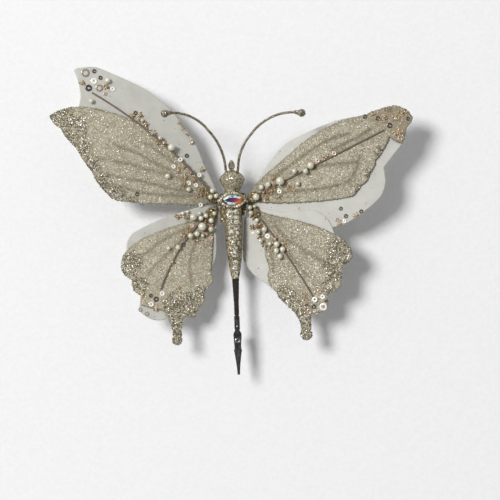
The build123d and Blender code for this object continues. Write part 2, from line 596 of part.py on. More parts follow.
# Rhinestones in cups down the ridge of the abdomen: place along the ridge, angle round it, diameter
STONES = [
    (belly, 0.065, -20, 3.1), (belly, 0.065, 20, 3.2), (belly, 0.165, -21, 3.2), (belly, 0.165, 20, 3.1),
    (belly, 0.265, -20, 3.2), (belly, 0.265, 21, 3.2), (belly, 0.365, -20, 3.0), (belly, 0.365, 20, 3.2),
    (belly, 0.46, -14, 3.4), (belly, 0.47, 22, 2.6), (belly, 0.56, 8, 3.6), (belly, 0.57, -32, 2.2),
    (belly, 0.655, -6, 3.4), (belly, 0.66, 30, 2.2), (belly, 0.76, 4, 3.6), (belly, 0.87, 2, 4.0),
    (taper, 0.04, 2, 3.8), (taper, 0.34, 6, 3.2), (taper, 0.60, 8, 2.6), (taper, 0.82, 8, 2.2),
]
STONE_SINK = 0.45
with BuildPart() as abdomen_stones:
    for edge, place, turn, diameter in STONES:
        foot = edge @ place
        run = edge % place
        out = Vector(abs(run.Y), -run.X * (1 if run.Y > 0 else -1), 0).normalized()
        angle = radians(turn)
        deep = foot.X - STONE_SINK
        origin = (deep * sin(angle), foot.Y, AXIS_Z + deep * cos(angle))
        normal = (out.X * sin(angle), out.Y, out.X * cos(angle))
        with BuildSketch(Plane(origin=origin, x_dir=(cos(angle), 0, -sin(angle)), z_dir=normal)):
            Circle(diameter / 2)
        extrude(amount=0.9)
        top = Vector(*origin) + Vector(*normal) * 0.9
        with BuildSketch(Plane(origin=top, x_dir=(cos(angle), 0, -sin(angle)), z_dir=normal)):
            Circle(diameter / 2)
        extrude(amount=0.6, taper=40)
save(abdomen_stones, "abdomen_rhinestones")

with body_shell:
    add(abdomen_stones.part, mode=Mode.SUBTRACT)
save(body_shell, "body_shell")

# Lower stem: tape-wrapped strip with a round end at the body, thinner where the clip holds it
with BuildPart() as stem_wires:
    with BuildSketch(Plane.XZ.offset(-STEM_JOINT_Y + 0.3)):
        with Locations((-2.1 * CORE_WIRE_RADIUS, AXIS_Z), (0, AXIS_Z), (2.1 * CORE_WIRE_RADIUS, AXIS_Z)):
            Circle(CORE_WIRE_RADIUS)
    extrude(amount=STEM_JOINT_Y - 0.3 - STEM_END_Y - 0.5)
save(stem_wires, "stem_core_wires")

with BuildPart() as stem_wrap:
    stations = [
        (STEM_JOINT_Y, STEM_TOP_WIDTH),
        (STEM_STEP_Y + 8, STEM_END_WIDTH),
        (STEM_STEP_Y, STEM_END_WIDTH),
    ]
    for y, width in stations:
        with BuildSketch(Plane.XZ.offset(-y)):
            with Locations((0, AXIS_Z)):
                RectangleRounded(width, STEM_THICKNESS, 0.9)
    loft(ruled=True)
    with BuildSketch(Plane.XZ.offset(-STEM_STEP_Y)):
        with Locations((0, AXIS_Z)):
            RectangleRounded(STEM_TONGUE_WIDTH, STEM_THICKNESS, 0.9)
    extrude(amount=STEM_STEP_Y - STEM_END_Y)
    with BuildSketch(Plane.YZ.offset(-STEM_TOP_WIDTH / 2)):
        with Locations((STEM_JOINT_Y, AXIS_Z)):
            Circle(STEM_THICKNESS / 2)
    extrude(amount=STEM_TOP_WIDTH)
    add(stem_wires.part, mode=Mode.SUBTRACT)
save(stem_wrap, "stem_wrap")

# Clip main jaw: steel channel, back upwards, the stem's tongue in its rear end
BACK_LOW = AXIS_Z + STEM_THICKNESS / 2 + CLIP_FIT
BACK_TOP = BACK_LOW + CLIP_SHEET
REAR_HALF = STEM_TONGUE_WIDTH / 2 + CLIP_FIT + CLIP_SHEET
EAR_INNER = 1.95
EAR_OUTER = EAR_INNER + CLIP_SHEET
JAW_HALF = [
    (CLIP_REAR_Y, REAR_HALF), (CRIMP_END_Y, REAR_HALF), (CRIMP_END_Y - 1.2, REAR_HALF - 0.3),
    (CRIMP_END_Y - 3.5, JAW_HALF_WIDTH), (PIVOT_Y + 7.0, JAW_HALF_WIDTH), (PIVOT_Y + 4.0, EAR_OUTER),
    (PIVOT_Y - 2.0, EAR_OUTER), (PIVOT_Y - 8.0, NOSE_HALF + 0.7), (CLIP_NOSE_Y + 4.0, NOSE_HALF + 0.2),
    (CLIP_NOSE_Y, NOSE_HALF),
]


def draw_mirrored(stations):
    """Outline from half widths along Y, mirrored to both sides."""
    points = [(half, y) for y, half in stations] + [(-half, y) for y, half in reversed(stations)]
    Polyline(points, close=True)


with BuildPart() as clip_jaw:
    with BuildSketch(Plane.XY.offset(BACK_LOW)):
        with BuildLine():
            draw_mirrored(JAW_HALF)
        make_face()
    extrude(amount=CLIP_SHEET)
    with BuildSketch(Plane.XY.offset(BACK_LOW - 1.9)):
        for side in (-1, 1):
            with Locations((side * (REAR_HALF - CLIP_SHEET / 2), (CLIP_REAR_Y + CRIMP_END_Y) / 2)):
                Rectangle(CLIP_SHEET, CLIP_REAR_Y - CRIMP_END_Y)
    extrude(amount=1.9)
    for start in (-EAR_OUTER, EAR_INNER):
        with BuildSketch(Plane.YZ.offset(start)):
            with Locations((PIVOT_Y, PIVOT_Z)):
                Circle(1.7)
            with BuildLine():
                Polyline(
                    (PIVOT_Y - 1.7, PIVOT_Z),
                    (PIVOT_Y - 1.9, BACK_LOW + 0.1),
                    (PIVOT_Y + 4.0, BACK_LOW + 0.1),
                    (PIVOT_Y + 1.7, PIVOT_Z),
                    close=True,
                )
            make_face()
        extrude(amount=CLIP_SHEET)
    with BuildSketch(Plane.YZ.offset(-NOSE_HALF)):
        with BuildLine():
            Polyline(
                (CLIP_NOSE_Y, BACK_LOW), (CLIP_NOSE_Y, BACK_LOW - 0.5), (CLIP_NOSE_Y + 1.0, BACK_LOW - 0.1),
                (CLIP_NOSE_Y + 1.6, BACK_LOW - 0.5), (CLIP_NOSE_Y + 2.4, BACK_LOW), close=True,
            )
        make_face()
    extrude(amount=2 * NOSE_HALF)
    with BuildSketch(Plane.YZ.offset(-EAR_OUTER - 1)):
        with Locations((PIVOT_Y, PIVOT_Z)):
            Circle(PIN_RADIUS)
    extrude(amount=2 * EAR_OUTER + 2, mode=Mode.SUBTRACT)
    with BuildSketch(Plane.XY.offset(BACK_LOW)):
        with Locations((0, CRIMP_END_Y + 1.5)):
            Circle(0.9)
    extrude(amount=CLIP_SHEET, mode=Mode.SUBTRACT)
    with BuildSketch(Plane.XY.offset(BACK_TOP)):
        with Locations((0, PIVOT_Y + 7.5)):
            Circle(1.75)
            Circle(1.15, mode=Mode.SUBTRACT)
    extrude(amount=0.25)
save(clip_jaw, "clip_jaw")

# Clip lever: sloping channel below the jaw, wide pad at the rear, ears inside the jaw's ears
lever_run = LEVER_REAR_Y - CLIP_NOSE_Y
lever_slope = asin((LEVER_NOSE_Z - LEVER_REAR_Z) / sqrt(lever_run**2 + (LEVER_NOSE_Z - LEVER_REAR_Z) ** 2))
lever_plane = Plane(
    origin=(0, CLIP_NOSE_Y, LEVER_NOSE_Z), x_dir=(1, 0, 0), z_dir=(0, sin(lever_slope), cos(lever_slope))
)
lever_length = lever_run / cos(lever_slope)
LEVER_EAR_OUTER = EAR_INNER - 0.15
LEVER_HALF = [
    (0.0, NOSE_HALF), (4.0, NOSE_HALF + 0.2), (9.0, NOSE_HALF + 0.6), (13.0, LEVER_EAR_OUTER),
    (22.5, LEVER_EAR_OUTER), (25.5, 2.8), (28.5, 3.0), (lever_length - 0.8, 2.7), (lever_length, 1.7),
]
with BuildPart() as clip_lever:
    with BuildSketch(lever_plane):
        with BuildLine():
            draw_mirrored(LEVER_HALF)
        make_face()
    extrude(amount=CLIP_SHEET)
    for start in (-LEVER_EAR_OUTER, LEVER_EAR_OUTER - CLIP_SHEET):
        with BuildSketch(Plane.YZ.offset(start)):
            with Locations((PIVOT_Y, PIVOT_Z)):
                Circle(1.4)
            with BuildLine():
                Polyline(
                    (PIVOT_Y - 1.4, PIVOT_Z),
                    (PIVOT_Y - 3.0, LEVER_NOSE_Z - (PIVOT_Y - 3.0 - CLIP_NOSE_Y) * sin(lever_slope) + 0.2),
                    (PIVOT_Y + 3.0, LEVER_NOSE_Z - (PIVOT_Y + 3.0 - CLIP_NOSE_Y) * sin(lever_slope) + 0.2),
                    (PIVOT_Y + 1.4, PIVOT_Z), close=True,
                )
            make_face()
        extrude(amount=CLIP_SHEET)
    with BuildSketch(Plane.YZ.offset(-LEVER_EAR_OUTER - 1)):
        with Locations((PIVOT_Y, PIVOT_Z)):
            Circle(PIN_RADIUS + LEG_CLEARANCE)
    extrude(amount=2 * LEVER_EAR_OUTER + 2, mode=Mode.SUBTRACT)
save(clip_lever, "clip_lever")

# Pivot rivet with a head on each side
with BuildPart() as clip_pin:
    with BuildSketch(Plane.YZ.offset(-EAR_OUTER)):
        with Locations((PIVOT_Y, PIVOT_Z)):
            Circle(PIN_RADIUS)
    extrude(amount=2 * EAR_OUTER)
    for start in (-EAR_OUTER - 0.4, EAR_OUTER):
        with BuildSketch(Plane.YZ.offset(start)):
            with Locations((PIVOT_Y, PIVOT_Z)):
                Circle(1.15)
        extrude(amount=0.4)
save(clip_pin, "clip_pivot_pin")

# Torsion spring round the pin: one wire, two arms and turns drawn half a turn at a time
HALF_TURNS = 5
spring_x = -SPRING_PITCH * HALF_TURNS / 4
with BuildPart() as clip_spring:
    with BuildLine() as spring_path:
        low_z = PIVOT_Z - SPRING_RADIUS
        high_z = PIVOT_Z + SPRING_RADIUS
        arm = Line((spring_x, PIVOT_Y + 6.5, low_z), (spring_x, PIVOT_Y, low_z))
        level = -1
        for turn in range(HALF_TURNS):
            here_x = spring_x + SPRING_PITCH * turn / 2
            ThreePointArc(
                (here_x, PIVOT_Y, PIVOT_Z + level * SPRING_RADIUS),
                (here_x + SPRING_PITCH / 4, PIVOT_Y + level * SPRING_RADIUS, PIVOT_Z),
                (here_x + SPRING_PITCH / 2, PIVOT_Y, PIVOT_Z - level * SPRING_RADIUS),
            )
            level = -level
        Line((-spring_x, PIVOT_Y, high_z), (-spring_x, PIVOT_Y + 6.5, high_z))
    with BuildSketch(Plane(origin=arm @ 0, z_dir=arm % 0)):
        Circle(SPRING_WIRE)
    sweep(path=spring_path.wires()[0])
save(clip_spring, "clip_spring")

print("spring gap between turns", round(SPRING_PITCH - 2 * SPRING_WIRE, 2), "mm")
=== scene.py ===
import math
import random

import bmesh
import bpy
import numpy as np
from mathutils import Matrix, Vector, noise
from mathutils.bvhtree import BVHTree
from mathutils.geometry import delaunay_2d_cdt


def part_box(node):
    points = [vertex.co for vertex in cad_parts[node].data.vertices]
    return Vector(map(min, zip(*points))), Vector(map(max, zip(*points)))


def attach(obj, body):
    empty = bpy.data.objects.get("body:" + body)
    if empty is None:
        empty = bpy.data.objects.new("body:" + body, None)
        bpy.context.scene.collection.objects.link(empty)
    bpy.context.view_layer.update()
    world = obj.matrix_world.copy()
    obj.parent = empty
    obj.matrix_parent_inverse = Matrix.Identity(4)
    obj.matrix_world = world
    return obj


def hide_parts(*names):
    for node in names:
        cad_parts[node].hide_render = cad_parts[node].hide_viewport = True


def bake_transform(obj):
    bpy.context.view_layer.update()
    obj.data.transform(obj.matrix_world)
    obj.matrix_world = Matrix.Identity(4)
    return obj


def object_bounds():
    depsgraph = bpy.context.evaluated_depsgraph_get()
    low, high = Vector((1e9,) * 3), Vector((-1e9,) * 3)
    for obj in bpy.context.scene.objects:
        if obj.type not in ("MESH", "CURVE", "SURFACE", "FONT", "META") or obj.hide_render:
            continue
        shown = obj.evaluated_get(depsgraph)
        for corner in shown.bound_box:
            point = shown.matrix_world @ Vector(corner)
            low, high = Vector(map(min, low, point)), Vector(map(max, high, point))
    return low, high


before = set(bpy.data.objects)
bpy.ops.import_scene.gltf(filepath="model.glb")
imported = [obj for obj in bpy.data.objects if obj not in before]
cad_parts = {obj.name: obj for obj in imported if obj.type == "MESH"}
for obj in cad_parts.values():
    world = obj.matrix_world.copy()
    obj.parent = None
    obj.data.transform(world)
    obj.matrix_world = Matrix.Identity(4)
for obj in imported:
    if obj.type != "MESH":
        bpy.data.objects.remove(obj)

MM = 0.001
cad_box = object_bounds()

# Back block. A block of hot-melt glue behind the thorax that holds the bent legs of the four
# wing wires and gives the ornament its flat back. It is poured by hand, so it is amber brown,
# cloudy and a little uneven, and it is dusted with gold glitter where it shows, its flakes made
# darker and browner than the body's as painted shade.


class Socket:
    """An output of a node. Sums with it add Math nodes to its tree."""

    def __init__(self, nodes, socket):
        self.nodes = nodes
        self.socket = socket

    def beside(self, name):
        """Another output of the same node."""
        return Socket(self.nodes, self.socket.node.outputs[name])

    def math(self, operation, first, second):
        return self.nodes.add("ShaderNodeMath", {0: first, 1: second}, operation=operation)

    def __add__(self, other):
        return self.math("ADD", self, other)

    def __radd__(self, other):
        return self.math("ADD", other, self)

    def __sub__(self, other):
        return self.math("SUBTRACT", self, other)

    def __mul__(self, other):
        return self.math("MULTIPLY", self, other)

    def __rmul__(self, other):
        return self.math("MULTIPLY", other, self)

    def __pow__(self, other):
        return self.math("POWER", self, other)

    def __gt__(self, other):
        return self.math("GREATER_THAN", self, other)


class Nodes:
    """A node tree, filled by one method."""

    def __init__(self, tree):
        self.tree = tree

    def feed(self, socket, value):
        if isinstance(value, Socket):
            self.tree.links.new(value.socket, socket)
        else:
            socket.default_value = value

    def add(self, kind, inputs, output=0, **settings):
        node = self.tree.nodes.new(kind)
        for key, value in settings.items():
            setattr(node, key, value)
        for key, value in inputs.items():
            self.feed(node.inputs[key], value)
        return Socket(self, node.outputs[output])

    def vector(self, operation, inputs):
        return self.add("ShaderNodeVectorMath", inputs, operation=operation)

    def part(self, vector, axis):
        return self.add("ShaderNodeSeparateXYZ", {0: vector}, axis)

    def random(self, low, high, seed):
        inputs = {2: low, 3: high, "Seed": seed}
        return self.add("FunctionNodeRandomValue", inputs, 1, data_type="FLOAT")

    def ramp(self, value, stops):
        """Colours between stops, each given by its place on the ramp."""
        colour = self.add("ShaderNodeValToRGB", {"Fac": value}, "Color")
        elements = colour.socket.node.color_ramp.elements
        for place in list(stops)[1:-1]:
            elements.new(place)
        for element, (place, shade) in zip(elements, stops.items()):
            element.position = place
            element.color = (*shade, 1.0)
        return colour


class Finish(Nodes):
    """A material on Blender's main shader, with its patterns in object space."""

    def __init__(self, name, inputs):
        self.material = bpy.data.materials.new(name)
        self.material.use_nodes = True
        super().__init__(self.material.node_tree)
        self.shader = self.tree.nodes["Principled BSDF"]
        self.place = self.add("ShaderNodeTexCoord", {}, "Object")
        self.set(inputs)

    def set(self, inputs):
        for key, value in inputs.items():
            self.feed(self.shader.inputs[key], value)

    def noise(self, size, detail=3.0, place=None):
        inputs = {"Vector": place or self.place, "Scale": 1.0 / size, "Detail": detail}
        return self.add("ShaderNodeTexNoise", inputs)

    def grains(self, size):
        """A random colour for each grain of about this size."""
        return self.add("ShaderNodeTexVoronoi", {"Vector": self.place, "Scale": 1.0 / size}, "Color")

    def waves(self, direction, pitch, inputs):
        """Bands about this far apart, square to an axis."""
        inputs = {"Vector": self.place, "Scale": 0.31 / pitch, **inputs}
        return self.add("ShaderNodeTexWave", inputs, bands_direction=direction)

    def channel(self, colour, name):
        return self.add("ShaderNodeSeparateColor", {"Color": colour}, name)

    def attribute(self, name):
        return self.add("ShaderNodeAttribute", {}, "Fac", attribute_name=name)

    def mix(self, factor, first, second):
        return self.add("ShaderNodeMix", {0: factor, 6: first, 7: second}, 2, data_type="RGBA")

    def marked(self, colour, marks):
        """A colour changed where the named attributes are high."""
        for name, amount, other in marks:
            colour = self.mix(amount * self.attribute(name), colour, (*other, 1.0))
        return colour

    def bump(self, height, depth):
        inputs = {"Height": height, "Distance": depth, "Strength": 1.0}
        return self.add("ShaderNodeBump", inputs, "Normal")

    def tilted(self, grain, amount):
        """The surface normal, turned a little at random for each grain."""
        normal = self.add("ShaderNodeNewGeometry", {}, "Normal")
        shift = self.vector("MULTIPLY_ADD", {0: grain, 1: (2 * amount,) * 3, 2: (-amount,) * 3})
        return self.vector("NORMALIZE", {0: self.vector("ADD", {0: normal, 1: shift})})


def dress(node, finish):
    """Give a CAD node its finish."""
    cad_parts[node].material_slots[0].material = finish.material


glue = Finish("hot_melt_glue", {"Coat Weight": 0.3})
cloud = glue.noise(3 * MM)
glue.set({
    "Base Color": glue.ramp(cloud, {
        0.3: (0.030, 0.020, 0.010), 0.6: (0.085, 0.060, 0.028), 0.8: (0.18, 0.14, 0.07),
    }),
    "Roughness": 0.3 + 0.3 * cloud,
    "Normal": glue.bump(glue.noise(1.2 * MM), 0.25 * MM),
})
dress("back_block", glue)

# Core wires. Three drawn steel wires that run through the abdomen, and three more flattened side
# by side in the stem; they are hidden, except for their cut ends.
wire_steel = Finish("drawn_steel", {"Metallic": 1.0})
drawn = wire_steel.noise(0.3 * MM)
wire_steel.set({
    "Base Color": wire_steel.ramp(drawn, {0.3: (0.22, 0.21, 0.20), 0.7: (0.50, 0.49, 0.47)}),
    "Roughness": 0.25 + 0.25 * drawn,
})
for node in ("body_core_wires", "stem_core_wires"):
    dress(node, wire_steel)

# Body moulding. Head, thorax and abdomen are one resin moulding, brushed with clear glue and
# rolled in gold glitter. The glue is dark between the flakes, and the flakes lie at all angles.
HEAD_Y = 8 * MM
ABDOMEN_COAT = 0.35
FLAKE_LIFT = 0.05 * MM


def glitter(name, deep, middle, bright, grain, lean):
    """Glitter in clear glue: every grain has its own brightness, gloss and lean."""
    finish = Finish(name, {"Coat Weight": 0.2, "Coat Roughness": 0.2})
    grains = finish.grains(grain)
    spark = finish.channel(grains, "Red")
    patch = finish.noise(4 * MM)
    level = 0.75 * spark + 0.5 * patch - 0.12
    finish.set({
        "Base Color": finish.ramp(level, {0.12: deep, 0.5: middle, 0.92: bright}),
        "Metallic": 0.25 + 0.6 * (finish.channel(grains, "Green") > 0.45),
        "Roughness": 0.2 + 0.45 * finish.channel(grains, "Blue"),
        "Normal": finish.tilted(grains, lean),
    })
    return finish


def node_group(name, inputs, output):
    """A new Geometry Nodes tree: its nodes, and its named inputs."""
    tree = bpy.data.node_groups.new(name, "GeometryNodeTree")
    for key, kind in inputs.items():
        tree.interface.new_socket(key, in_out="INPUT", socket_type="NodeSocket" + kind)
    tree.interface.new_socket(output, in_out="OUTPUT", socket_type="NodeSocketGeometry")
    nodes = Nodes(tree)
    source = tree.nodes.new("NodeGroupInput")
    return nodes, {key: Socket(nodes, source.outputs[key]) for key in inputs}


def tinted(nodes, copies, tint, finish, smooth=False):
    """The end of a tree: instances get a tint each and become one mesh with a finish."""
    copies = nodes.add(
        "GeometryNodeStoreNamedAttribute", {"Geometry": copies, "Name": "tint", "Value": tint},
        data_type="FLOAT", domain="INSTANCE",
    )
    mesh = nodes.add("GeometryNodeRealizeInstances", {"Geometry": copies})
    if smooth:
        mesh = nodes.add("GeometryNodeSetShadeSmooth", {"Geometry": mesh})
    mesh = nodes.add("GeometryNodeSetMaterial", {"Geometry": mesh, "Material": finish})
    nodes.feed(nodes.tree.nodes.new("NodeGroupOutput").inputs[0], mesh)
    return nodes.tree


def flake_nodes():
    """Geometry Nodes that strew hexagonal flakes over a mesh by its coat attribute."""
    nodes, given = node_group("glitter_flakes", {
        "Ground": "Geometry",
        "Flakes per square metre": "Float",
        "Flake width": "Float",
        "Coarse growth": "Float",
        "Lean": "Float",
        "Lift": "Float",
        "Seed": "Int",
        "Finish": "Material",
    }, "Flakes")
    seed = given["Seed"]
    coat = nodes.add("GeometryNodeInputNamedAttribute", {"Name": "coat"}, data_type="FLOAT")
    coarse = nodes.add("GeometryNodeInputNamedAttribute", {"Name": "coarse"}, data_type="FLOAT")
    density = coat * given["Flakes per square metre"]
    coating = {"Mesh": given["Ground"], "Density": density, "Seed": seed}
    strewn = nodes.add("GeometryNodeDistributePointsOnFaces", coating, "Points")
    raise_by = nodes.vector("SCALE", {0: strewn.beside("Normal"), "Scale": given["Lift"]})
    points = nodes.add("GeometryNodeSetPosition", {"Geometry": strewn, "Offset": raise_by})
    outline = {"Vertices": 6, "Radius": given["Flake width"] * 0.5}
    flake = nodes.add("GeometryNodeMeshCircle", outline, fill_type="NGON")
    lean = nodes.add("ShaderNodeCombineXYZ", {0: given["Lean"], 1: given["Lean"], 2: math.pi})
    lean_back = nodes.vector("SCALE", {0: lean, "Scale": -1.0})
    limits = {0: lean_back, 1: lean, "Seed": seed + 1}
    leaning = nodes.add("FunctionNodeRandomValue", limits, data_type="FLOAT_VECTOR")
    leaning = nodes.add("FunctionNodeEulerToRotation", {0: leaning})
    turns = {0: strewn.beside("Rotation"), 1: leaning}
    leaning = nodes.add("FunctionNodeRotateRotation", turns, rotation_space="LOCAL")
    scale = nodes.random(0.6, 1.2, seed + 2) * (1.0 + coarse * given["Coarse growth"])
    placing = {"Points": points, "Instance": flake, "Rotation": leaning, "Scale": scale}
    flakes = nodes.add("GeometryNodeInstanceOnPoints", placing)
    tint = nodes.random(0.0, 1.0, seed + 3) ** (1.0 + 0.9 * coarse)
    return tinted(nodes, flakes, tint, given["Finish"])


flake_tree = flake_nodes()


def linked(name, data):
    """A new object in the scene."""
    obj = bpy.data.objects.new(name, data)
    bpy.context.collection.objects.link(obj)
    return obj


def baked(obj):
    """A plain mesh of an object as its modifiers leave it."""
    graph = bpy.context.evaluated_depsgraph_get()
    return bpy.data.meshes.new_from_object(obj.evaluated_get(graph))


def grown(name, ground, tree, values):
    """The plain mesh object that a Geometry Nodes tree makes out of a mesh."""
    obj = linked(name, ground)
    modifier = obj.modifiers.new("grow", "NODES")
    modifier.node_group = tree
    for item in tree.interface.items_tree:
        if item.name in values:
            modifier[item.identifier] = values[item.name]
    result = baked(obj)
    obj.modifiers.clear()
    obj.data = result
    return obj


def strew(name, ground, body, finish, width, per_mm2, lean, growth=0.0, seed=1):
    """A coat of flakes that rides on a body."""
    flakes = grown(name, ground, flake_tree, {
        "Flakes per square metre": per_mm2 / MM**2,
        "Flake width": width,
        "Coarse growth": growth,
        "Lean": lean,
        "Lift": FLAKE_LIFT,
        "Seed": seed,
        "Finish": finish.material,
    })
    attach(flakes, body)


def write_attribute(mesh, name, values):
    """Give each vertex of a mesh a value."""
    layer = mesh.attributes.get(name) or mesh.attributes.new(name, "FLOAT", "POINT")
    layer.data.foreach_set("value", np.asarray(values, dtype=np.float32))


def coated(mesh):
    """A mesh marked to take fine flakes all over."""
    write_attribute(mesh, "coat", np.ones(len(mesh.vertices)))
    write_attribute(mesh, "coarse", np.zeros(len(mesh.vertices)))
    return mesh


def merged(node):
    """A bmesh of a CAD node, with its faces joined along their edges."""
    copy = bmesh.new()
    copy.from_mesh(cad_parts[node].data)
    bmesh.ops.remove_doubles(copy, verts=copy.verts, dist=1e-6)
    return copy


def ground_of(node):
    """A merged copy of a CAD node's mesh, coated all over."""
    copy = merged(node)
    mesh = bpy.data.meshes.new(node + "_ground")
    copy.to_mesh(mesh)
    copy.free()
    return coated(mesh)


def flake_finish(name, stops, matt, metal=0.8, coat=0.0, marks=()):
    """Metallised film: each flake has its own tint and gloss, and takes the marks below it."""
    finish = Finish(name, {
        "Metallic": metal, "Coat Weight": coat, "Coat Roughness": 0.36, "Coat IOR": 2.3,
    })
    colour = finish.ramp(finish.attribute("tint"), stops)
    colour = finish.mix(0.35 * finish.noise(6 * MM), colour, (0.26, 0.22, 0.13, 1.0))
    finish.set({
        "Base Color": finish.marked(colour, marks),
        "Roughness": matt + 0.3 * finish.noise(1.5 * MM),
    })
    return finish


gold_base = glitter(
    "gold_glitter", (0.035, 0.026, 0.011), (0.145, 0.105, 0.04), (0.62, 0.53, 0.31),
    grain=0.6 * MM, lean=0.38,
)
gold_flake = flake_finish("gold_flakes", {
    0.0: (0.13, 0.10, 0.045), 0.45: (0.47, 0.39, 0.20), 0.85: (0.86, 0.78, 0.57),
    1.0: (0.98, 0.95, 0.82),
}, matt=0.15, metal=0.5, coat=1.0)
for node in ("body_shell", "head_finial"):
    dress(node, gold_base)
    ground = ground_of(node)
    coat = [1.0 if vert.co.y > HEAD_Y else ABDOMEN_COAT for vert in ground.vertices]
    write_attribute(ground, "coat", coat)
    strew(
        node + "_flakes", ground, "body", gold_flake,
        width=0.8 * MM, per_mm2=3.4, lean=0.36,
    )

# Antennae. Two soft wires bent outwards by hand, each ending in a small bead of glue, dipped
# together in the same glitter as the body but with finer flakes.
antenna_base = glitter(
    "antenna_glitter", (0.035, 0.026, 0.014), (0.15, 0.12, 0.07), (0.58, 0.53, 0.41),
    grain=0.5 * MM, lean=0.4,
)
for node in ("left_antenna", "right_antenna"):
    dress(node, antenna_base)
    strew(
        node + "_flakes", ground_of(node), "body", gold_flake,
        width=0.6 * MM, per_mm2=1.5, lean=0.7,
    )

# Bezel. A cast marquise setting, gold plated, with a row of little beads along its edge. It is
# glued across the thorax and grips the crystal.
ROW_BEADS = 25
ROW_BEAD_RADIUS = 0.9 * MM
ROW_SINK = 0.15 * MM


def marquise(length, width, count):
    """Points of a pointed oval made of two arcs, from the left point round by the lower side."""
    radius = (length**2 + width**2) / (4 * width)
    drop = radius - width / 2
    half = [(-math.cos(math.pi * i / count) * length / 2) for i in range(count)]
    lower = [(x, drop - math.sqrt(radius**2 - x**2)) for x in half]
    return lower + [(-x, -y) for x, y in lower]


def bead_row_nodes():
    """Geometry Nodes that set round beads side by side along a closed line."""
    nodes, given = node_group("bead_row", {
        "Line": "Geometry", "Beads": "Int", "Bead radius": "Float", "Finish": "Material",
    }, "Row")
    line = nodes.add("GeometryNodeMeshToCurve", {"Mesh": given["Line"]})
    line = nodes.add("GeometryNodeResampleCurve", {"Curve": line, "Count": given["Beads"]})
    ball = {"Radius": given["Bead radius"], "Subdivisions": 3}
    bead = nodes.add("GeometryNodeMeshIcoSphere", ball)
    row = nodes.add("GeometryNodeInstanceOnPoints", {"Points": line, "Instance": bead})
    return tinted(nodes, row, nodes.random(0.0, 1.0, 4), given["Finish"], smooth=True)


plated = Finish("gold_plate", {"Metallic": 0.55, "Coat Weight": 0.5, "Coat Roughness": 0.08})
worn = plated.noise(0.8 * MM)
plated.set({
    "Base Color": plated.ramp(worn, {
        0.3: (0.10, 0.075, 0.035), 0.5: (0.26, 0.21, 0.11), 0.72: (0.60, 0.53, 0.36),
    }),
    "Roughness": 0.18 + 0.3 * worn,
    "Normal": plated.bump(plated.noise(0.4 * MM), 0.04 * MM),
})
dress("gem_bezel", plated)
bezel_low, bezel_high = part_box("gem_bezel")
gem_low, gem_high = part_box("thorax_gem")
row_length = (bezel_high[0] - bezel_low[0] + gem_high[0] - gem_low[0]) / 2 + 0.5 * MM
row_width = (bezel_high[1] - bezel_low[1] + gem_high[1] - gem_low[1]) / 2 + 0.4 * MM
row_points = [(x, y, bezel_high[2] - ROW_SINK) for x, y in marquise(row_length, row_width, 40)]
row_edges = [(i, (i + 1) % len(row_points)) for i in range(len(row_points))]
row_line = bpy.data.meshes.new("bezel_line")
row_line.from_pydata(row_points, row_edges, [])
bright_gold = Finish("bright_gold", {
    "Metallic": 0.3, "Roughness": 0.22, "Coat Weight": 1.0, "Coat Roughness": 0.05,
})
bright_gold.set({
    "Base Color": bright_gold.ramp(bright_gold.attribute("tint"), {
        0.1: (0.22, 0.17, 0.085), 0.5: (0.55, 0.48, 0.31), 0.85: (0.92, 0.88, 0.72),
    }),
    "Normal": bright_gold.bump(bright_gold.noise(0.5 * MM), 0.06 * MM),
})
bezel_beads = grown("bezel_beads", row_line, bead_row_nodes(), {
    "Beads": ROW_BEADS, "Bead radius": ROW_BEAD_RADIUS, "Finish": bright_gold.material,
})
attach(bezel_beads, "body")
strew(
    "gem_bezel_flakes", ground_of("gem_bezel"), "body", gold_flake,
    width=0.6 * MM, per_mm2=1.6, lean=0.5,
)

# Crystal. A marquise-cut glass stone with a foiled back and an iridescent coating: its upper facets
# are teal, each with a random brightness up to white painted as facet reflections, its table purple,
# its ends dark red and orange. It is pressed into the bezel.
GEM_SIDES = 10
GIRDLE_RISE = 1.3 * MM
BREAK_RISE = 0.55 * MM


def shade(mesh, smooth):
    mesh.polygons.foreach_set("use_smooth", [smooth] * len(mesh.polygons))


def finished_mesh(name, bm, smooth):
    """Turn a bmesh into a mesh with outward faces."""
    bmesh.ops.recalc_face_normals(bm, faces=bm.faces)
    mesh = bpy.data.meshes.new(name)
    bm.to_mesh(mesh)
    bm.free()
    shade(mesh, smooth)
    return mesh


def piece(name, mesh, body, finish, replaced=()):
    """A finished object that rides on a body."""
    obj = linked(name, mesh)
    mesh.materials.append(finish.material)
    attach(obj, body)
    if replaced:
        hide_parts(*replaced)
    return obj


cut = bmesh.new()
facet_tint = cut.faces.layers.float.new("tint")
gem_length = gem_high[0] - gem_low[0]
gem_width = gem_high[1] - gem_low[1]
girdle_z = gem_low[2] + GIRDLE_RISE
outlines = [
    (marquise(gem_length, gem_width, GEM_SIDES), gem_low[2]),
    (marquise(gem_length, gem_width, GEM_SIDES), girdle_z),
    (marquise(gem_length * 0.86, gem_width * 0.84, GEM_SIDES), girdle_z + BREAK_RISE),
    (marquise(gem_length * 0.72, gem_width * 0.46, GEM_SIDES), gem_high[2]),
]
rows = [[cut.verts.new((x, y, height)) for x, y in outline] for outline, height in outlines]
draw = random.Random(5)
for lower, upper in zip(rows, rows[1:]):
    for i in range(len(lower)):
        j = (i + 1) % len(lower)
        corners = ((lower[i], lower[j], upper[j]), (lower[i], upper[j], upper[i]))
        if i % 2:
            corners = ((lower[i], lower[j], upper[i]), (lower[j], upper[j], upper[i]))
        for triangle in corners:
            # Each crown facet draws a random brightness: painted facet reflections.
            cut.faces.new(triangle)[facet_tint] = 0.2 + 0.6 * draw.random()
cut.faces.new(rows[-1])[facet_tint] = 0.0
cut.faces.new(list(reversed(rows[0])))
crystal_mesh = finished_mesh("crystal", cut, False)
crystal = Finish("coated_crystal", {"Roughness": 0.06, "Coat Weight": 1.0, "Coat Roughness": 0.02})
